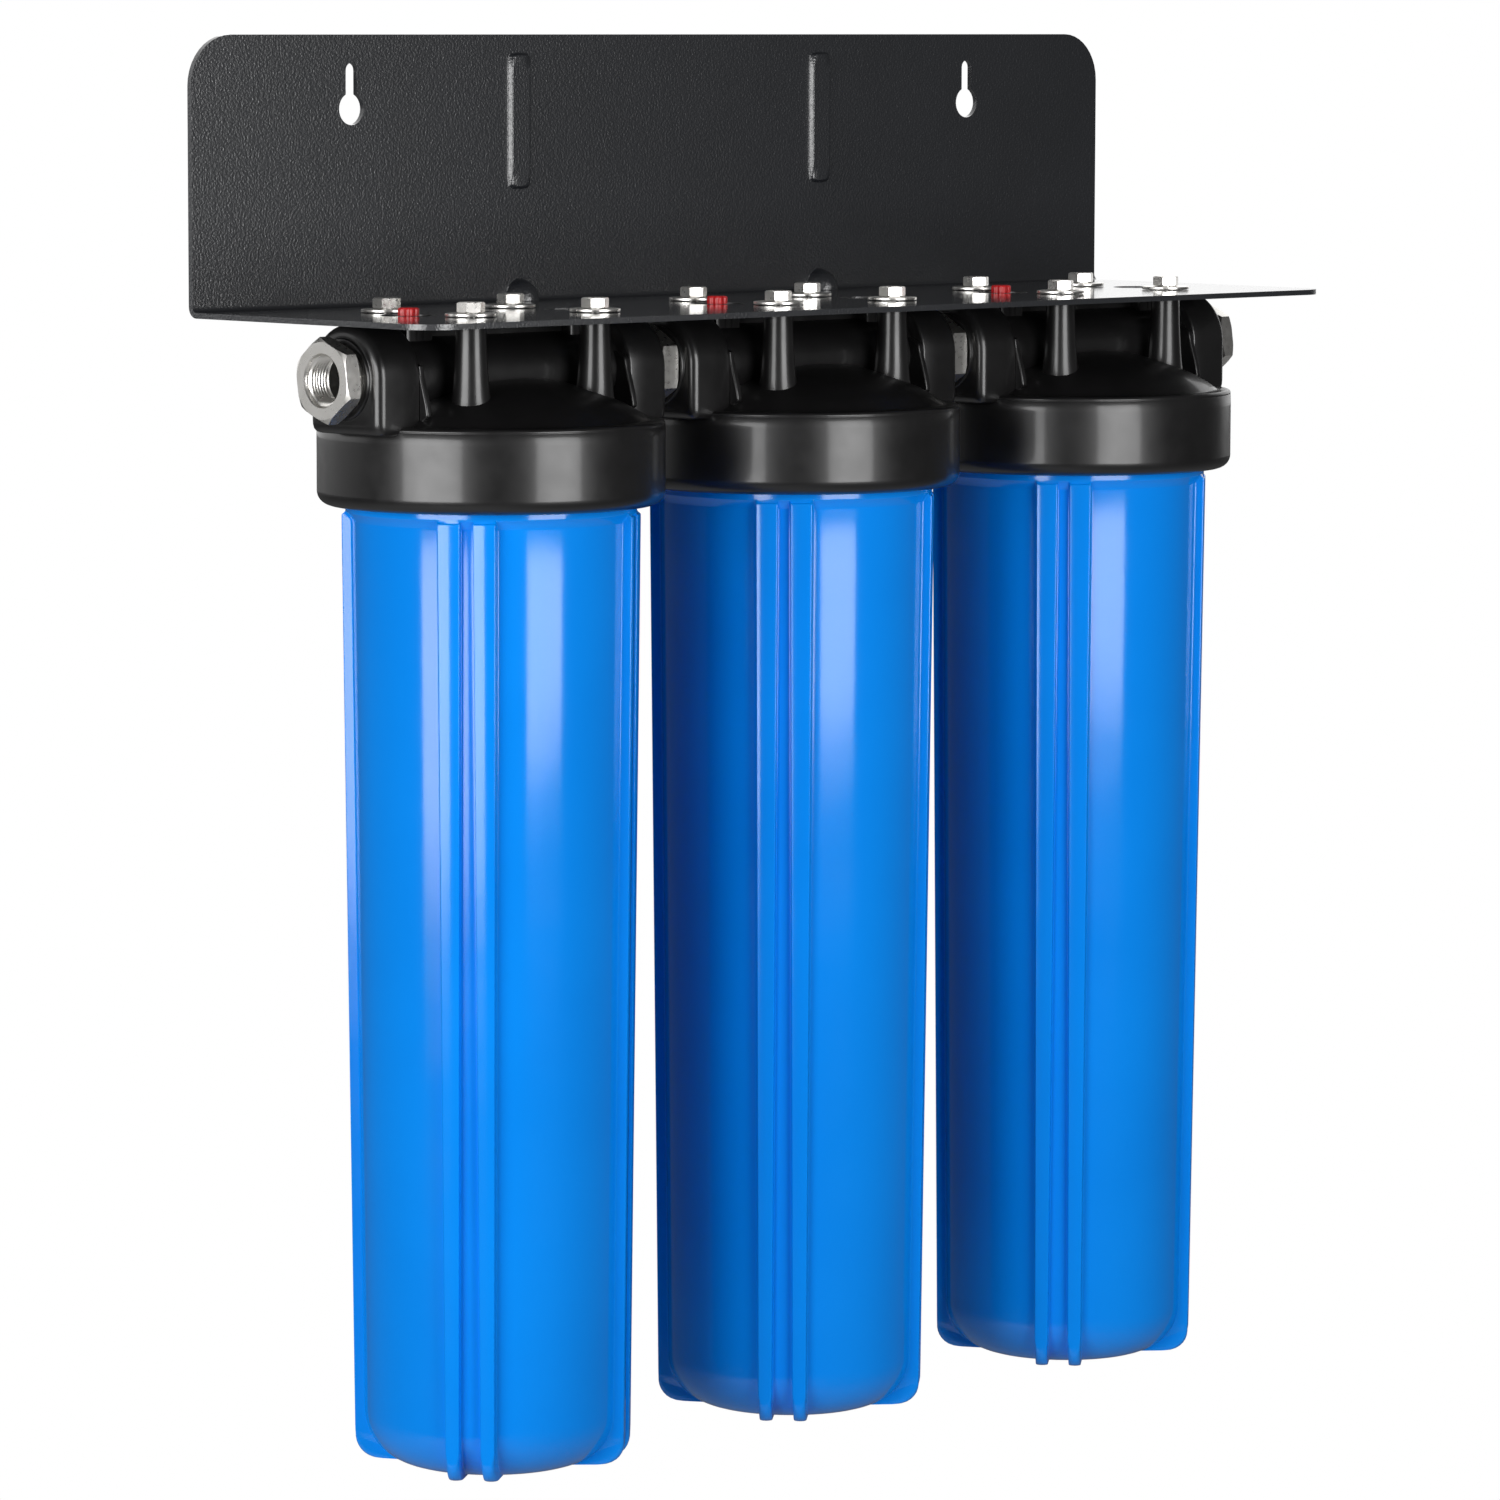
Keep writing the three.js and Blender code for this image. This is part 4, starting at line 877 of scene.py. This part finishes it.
def rib_height(x, s):
    """A pressed rib is a flat bar with steep flanks. With t the distance inside its rounded oblong
    outline over RIB_FLANK, kept between 0 and 1, it stands RIB_HEIGHT (3 t^2 - 2 t^3) over the plate."""
    beside = np.abs(np.abs(x) - RIB_X) - (RIB_HALF - RIB_CORNER)
    beyond = np.abs(s - RIB_S) - (RIB_REACH - RIB_CORNER)
    outside = np.hypot(np.maximum(beside, 0), np.maximum(beyond, 0))
    d = RIB_CORNER - outside - np.minimum(np.maximum(beside, beyond), 0)
    t = np.clip(d / RIB_FLANK, 0, 1)
    return RIB_HEIGHT * (3 * t ** 2 - 2 * t ** 3)


def gusset_radius(x):
    """A gusset is a quarter of a rounded lump in the fold. At dx from its middle its radius is
    GUSSET_REACH sqrt(1 - (dx / GUSSET_HALF)^2)."""
    return GUSSET_REACH * np.sqrt(np.clip(1 - ((np.abs(x) - RIB_X) / GUSSET_HALF) ** 2, 0, 1))


def sheet_points(x, s):
    """Where the flat sheet's points come to lie once it is pressed and folded."""
    y, z, normal_y, normal_z = folded(s)
    height = rib_height(x, s)
    y, z = y + normal_y * height, z + normal_z * height
    reach = gusset_radius(x)
    first, last = RISE - reach + FOLD, RISE + ARC + reach - FOLD
    t = np.clip((s - first) / np.maximum(last - first, 1), 0, 1)
    bridge_y = -SHEET - reach * np.sin(t * np.pi / 2)
    bridge_z = SHELF_TOP + reach * np.cos(t * np.pi / 2)
    share = np.clip((reach - FOLD) / 1.5, 0, 1) * ((t > 0) & (t < 1))
    return np.stack([x, y + share * (bridge_y - y), z + share * (bridge_z - z)], -1)


middle_arc = (FOLD + SHEET / 2) * math.pi / 2
print("depth of the flat sheet along its middle, in mm:", round(RISE + middle_arc + SHELF_RUN, 1))

# %% Outline and holes of the flat sheet
HALF = 345.0
PLATE_CORNER, SHELF_CORNER = 27.0, 20.0
KEY_X, KEY_S, KEY_RADIUS, SLOT_S, SLOT_RADIUS = 235.0, 39.5, 8.6, 19.0, 3.9


def circle(x, s, radius, columns):
    angle = round_angles(columns)
    return np.stack([x + radius * np.cos(angle), s + radius * np.sin(angle)], -1)


def sheet_outline():
    """The sheet's rim, from the plate's upper left corner on: along its top, down its right side,
    back along the shelf's front and up its left side."""
    top, front = PLATE_CORNER, SHELF_CORNER
    plate_x, shelf_x, front_s = HALF - top, HALF - front, SHELF_END - front
    side_rows = np.concatenate([np.linspace(top, RISE, 7), RISE + ARC * np.linspace(0, 1, 9)[1:],
                                np.linspace(RISE + ARC, front_s, 9)[1:]])
    side = np.stack([np.full(len(side_rows), HALF), side_rows], -1)[1:-1]
    return joined_lines(
        arc(-plate_x, top, top, 180, 270, 10), between([-plate_x, 0], [plate_x, 0], 28)[:-1],
        arc(plate_x, top, top, 270, 360, 10), side,
        arc(shelf_x, front_s, front, 0, 90, 9),
        between([shelf_x, SHELF_END], [-shelf_x, SHELF_END], 28)[:-1],
        arc(-shelf_x, front_s, front, 90, 180, 9), side[::-1] * [-1, 1])


def keyhole(x):
    """A round hole with a narrow slot above it, as one outline."""
    neck = math.degrees(math.asin(SLOT_RADIUS / KEY_RADIUS))
    return joined_lines(arc(x, KEY_S, KEY_RADIUS, -90 + neck, 270 - neck, 28),
                        arc(x, SLOT_S, SLOT_RADIUS, 180, 360, 10))


SHELF_MIDDLE = RISE + ARC - ROW - SHEET - FOLD
bolt_holes = [(x + dx, SHELF_MIDDLE - dy, 4.7) for x in STAGES for dx, dy in BOLTS]
access_holes = [(x + side * RELIEF, SHELF_MIDDLE, 15.0) for x in STAGES for side in (-1, 1)]
hole_outlines = [keyhole(-KEY_X), keyhole(KEY_X)]
hole_outlines += [circle(*hole, 20) for hole in bolt_holes]
hole_outlines += [circle(*hole, 40) for hole in access_holes]
print("holes in the sheet:", len(hole_outlines))


def in_holes(x, s, grow=0.0):
    """True where a point of the flat sheet lies in a hole, or within grow of one."""
    rounds = bolt_holes + access_holes
    rounds += [(side * KEY_X, at, radius) for side in (-1, 1)
               for at, radius in ((KEY_S, KEY_RADIUS), (SLOT_S, SLOT_RADIUS))]
    inside = [np.hypot(x - hx, s - hs) < radius + grow for hx, hs, radius in rounds]
    slot = (np.abs(np.abs(x) - KEY_X) < SLOT_RADIUS + grow) & (s > SLOT_S - grow) & (s < KEY_S)
    return np.any(inside + [slot], axis=0)


def in_sheet(x, s, draw=0.0):
    """True where a point lies inside the rim, at least draw from it."""
    corner = np.where(s < SHELF_END / 2, PLATE_CORNER, SHELF_CORNER)
    dx = np.maximum(np.abs(x) - (HALF - corner), 0)
    ds = np.maximum(np.abs(s - SHELF_END / 2) - (SHELF_END / 2 - corner), 0)
    return np.hypot(dx, ds) < corner - draw


# %% The bracket
def patch(columns_at, rows_at):
    """Points at every crossing of those columns and rows."""
    return np.stack(np.meshgrid(columns_at, rows_at), -1).reshape(-1, 2)


def both_ways(steps):
    """Distances that start at 0, and the same ones to the other side."""
    return np.concatenate([-steps[:0:-1], steps])


def bracket_mesh():
    """Fills the flat sheet with triangles between its rim, its holes and rows of inner points, which
    lie close together where it is pressed or folded, and then folds it."""
    flank = np.array([-2.4, -1.5, -1.25, -1.0, -0.75, -0.5, -0.25, 0.0, 0.6])
    beside, beyond = np.append([0, 2.5], RIB_HALF + flank), np.append([0, 7, 14, 21, 28], RIB_REACH + flank)
    fold_rows = RISE + ARC * np.linspace(0, 1, 9)
    gusset_rows = np.concatenate([np.linspace(RISE - 13, RISE, 18), fold_rows[1:-1],
                                  np.linspace(RISE + ARC, RISE + ARC + 13, 18)])
    flat_rows = np.concatenate([np.linspace(10, 120, 7), np.linspace(170, 318, 9)])
    loose = np.concatenate([patch(np.linspace(-330, 330, 34), flat_rows),
                            patch(np.linspace(-343, 343, 99), fold_rows)])
    busy = []
    for middle in (-RIB_X, RIB_X):
        busy.append(patch(middle + both_ways(beside), RIB_S + both_ways(beyond)))
        busy.append(patch(middle + np.linspace(-10.5, 10.5, 29), gusset_rows))
    x, s = loose.T
    clear = (np.abs(np.abs(x) - RIB_X) > 11) | ((s > 90) & (s < 120)) | (s > 168)
    inner = np.concatenate([loose[clear]] + busy)
    inner = inner[in_sheet(*inner.T, 1.5) & ~in_holes(*inner.T, 1.5)]
    loops = [sheet_outline()] + hole_outlines
    starts = np.cumsum([0] + [len(loop) for loop in loops])
    edges = []
    for loop, start in zip(loops, starts):
        step = np.arange(len(loop))
        edges += (np.stack([step, (step + 1) % len(loop)], -1) + start).tolist()
    flat = np.concatenate(loops + [inner])
    flat_points, _, faces, _, _, _ = delaunay_2d_cdt(flat.tolist(), edges, [], 0, 1e-5)
    flat_points, faces = np.array([list(point) for point in flat_points]), np.array(faces)
    middle = flat_points[faces].mean(1)
    faces = faces[in_sheet(*middle.T) & ~in_holes(*middle.T)]
    return sheet_points(*flat_points.T), faces[:, ::-1]


points, faces = bracket_mesh()
mesh = bpy.data.meshes.new("bracket_sheet")
mesh.from_pydata((points * MM).tolist(), [], faces.tolist())
mesh.shade_smooth()
mesh.materials.append(powder_coat)
sheet = bpy.data.objects.new("bracket_sheet", mesh)
bpy.context.scene.collection.objects.link(sheet)
thick = sheet.modifiers.new("sheet steel", "SOLIDIFY")
thick.thickness = SHEET * MM
thick.offset = -1
soft_edge = sheet.modifiers.new("softened edges", "BEVEL")
soft_edge.width = 0.5 * MM
soft_edge.segments = 2
soft_edge.limit_method = "ANGLE"
soft_edge.angle_limit = math.radians(60)
soft_edge.harden_normals = True
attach(sheet, "frame")
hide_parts("bracket")
print("bracket triangles:", len(faces))

# %% [markdown]
# ## Parts inside
# The O-rings, gaskets, cartridges and valve springs are hidden while the filter is whole. They keep
# their CAD shapes and get their own finishes, so that nothing is bare when the parts are moved.

# %% Finishes of the inner CAD parts
inner_finishes = {"sump_o_ring": black_rubber, "upper_gasket": black_rubber, "lower_gasket": black_rubber,
                  "cartridge": filter_block, "relief_spring": spring_steel}
for start, finish in inner_finishes.items():
    for number in (1, 2, 3):
        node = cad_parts[f"{start}_{number}"]
        node.data.materials.clear()
        node.data.materials.append(finish)
print("inner parts with a finish:", 3 * len(inner_finishes))

# %% [markdown]
# ## Studio
# Two large soft lamps stand left and right of the camera, as the long highlights on the sumps show,
# and a weak one behind. The floor is pale near the filter, and further out it is plain white to the
# camera. So is the world. Reflections find the world white only on the far side, turned a little to
# the left, and dark elsewhere, which keeps the black plastic black between its highlights.

# %% Mixing shaders
def joined(material, operation, first, second):
    """One number from two by a Math node."""
    node = add_node(material, "ShaderNodeMath", operation=operation)
    wire(material, first, node.inputs[0])
    wire(material, second, node.inputs[1])
    return node.outputs["Value"]


def blended(material, share, first, second):
    """The first shader where share is 0, and the second where it is 1."""
    node = add_node(material, "ShaderNodeMixShader")
    for target, source in zip(node.inputs, (share, first, second)):
        wire(material, source, target)
    return node.outputs["Shader"]


def camera_sees(material, paths):
    """1 to the camera's own rays, also through glass, and 0 to all others."""
    return joined(material, "MAXIMUM", paths["Is Camera Ray"], paths["Is Transmission Ray"])


# %% Floor
FLOOR_HALF, FLOOR_HEIGHT = 30.0, -1.9
floor_mesh = bpy.data.meshes.new("studio_floor")
floor_corners = [[x * FLOOR_HALF, y * FLOOR_HALF, FLOOR_HEIGHT]
                 for x, y in ((-1, -1), (1, -1), (1, 1), (-1, 1))]
floor_mesh.from_pydata(floor_corners, [], [[0, 1, 2, 3]])
floor = bpy.data.objects.new("studio_floor", floor_mesh)
bpy.context.scene.collection.objects.link(floor)

floor_finish = bpy.data.materials.new("studio_floor")
floor_finish.use_nodes = True
floor_finish.node_tree.nodes.clear()
place = add_node(floor_finish, "ShaderNodeTexCoord")
distance = add_node(floor_finish, "ShaderNodeVectorMath", operation="LENGTH")
wire(floor_finish, place.outputs["Object"], distance.inputs[0])
far = add_node(floor_finish, "ShaderNodeMapRange", interpolation_type="SMOOTHSTEP",
               From_Min=2.0, From_Max=2.3, To_Min=0.0, To_Max=1.0)
wire(floor_finish, distance.outputs["Value"], far.inputs["Value"])
seen = camera_sees(floor_finish, add_node(floor_finish, "ShaderNodeLightPath").outputs)
share = joined(floor_finish, "MULTIPLY", far.outputs["Result"], seen)
pale = add_node(floor_finish, "ShaderNodeBsdfDiffuse", Color=(0.7, 0.7, 0.7, 1))
white = add_node(floor_finish, "ShaderNodeEmission", Strength=1.0)
surface = blended(floor_finish, share, pale.outputs["BSDF"], white.outputs["Emission"])
wire(floor_finish, surface, add_node(floor_finish, "ShaderNodeOutputMaterial").inputs["Surface"])
floor_mesh.materials.append(floor_finish)

# %% World
WHITE_TURN = math.radians(25)
world = bpy.data.worlds.new("studio")
bpy.context.scene.world = world
world.use_nodes = True
world.cycles.sampling_method = "NONE"
world.node_tree.nodes.clear()
paths = add_node(world, "ShaderNodeLightPath").outputs
look = add_node(world, "ShaderNodeTexCoord")
to_back = add_node(world, "ShaderNodeVectorMath", operation="DOT_PRODUCT")
wire(world, look.outputs["Generated"], to_back.inputs[0])
to_back.inputs[1].default_value = (math.sin(YAW - WHITE_TURN), math.cos(YAW - WHITE_TURN), 0.0)
behind = add_node(world, "ShaderNodeMapRange", From_Min=0.30, From_Max=0.46, To_Min=0.0, To_Max=1.0)
wire(world, to_back.outputs["Value"], behind.inputs["Value"])
mirrored = joined(world, "MULTIPLY", paths["Is Glossy Ray"], behind.outputs["Result"])
either = joined(world, "MAXIMUM", camera_sees(world, paths), mirrored)
dark_room = add_node(world, "ShaderNodeBackground", Color=(1, 1, 1, 1), Strength=0.08)
backdrop = add_node(world, "ShaderNodeBackground", Color=(1, 1, 1, 1), Strength=1.0)
sky = blended(world, either, dark_room.outputs["Background"], backdrop.outputs["Background"])
wire(world, sky, add_node(world, "ShaderNodeOutputWorld").inputs["Surface"])
print("middle of the white side:", [round(part, 2) for part in to_back.inputs[1].default_value])

# %% Soft lamps
def soft_lamp(name, centre, facing, width, height, radiance):
    """An oblong lamp whose face has the given radiance: power = pi x area x radiance."""
    data = bpy.data.lights.new(name, "AREA")
    data.shape = "RECTANGLE"
    data.size, data.size_y = width * MM, height * MM
    data.energy = math.pi * data.size * data.size_y * radiance
    lamp = bpy.data.objects.new(name, data)
    away = np.asarray(centre, float) - np.asarray(facing, float)
    away /= np.linalg.norm(away)
    across = np.cross([0, 0, 1], away)
    across /= np.linalg.norm(across)
    upward = np.cross(away, across)
    rows = [[across[k], upward[k], away[k], centre[k] * MM] for k in range(3)]
    lamp.matrix_world = Matrix(rows + [[0, 0, 0, 1]])
    bpy.context.scene.collection.objects.link(lamp)
    return lamp


soft_lamp("right_softbox", centre=(-119, -1730, -5), facing=(181, -200, -5),
          width=920, height=1010, radiance=6.7)
soft_lamp("left_softbox", centre=(-3060, -560, 5), facing=(-222, -100, 5),
          width=2100, height=1610, radiance=7.2)
soft_lamp("back_lamp", centre=(1800, 1700, 900), facing=(0, 0, -250),
          width=1500, height=1500, radiance=0.5)
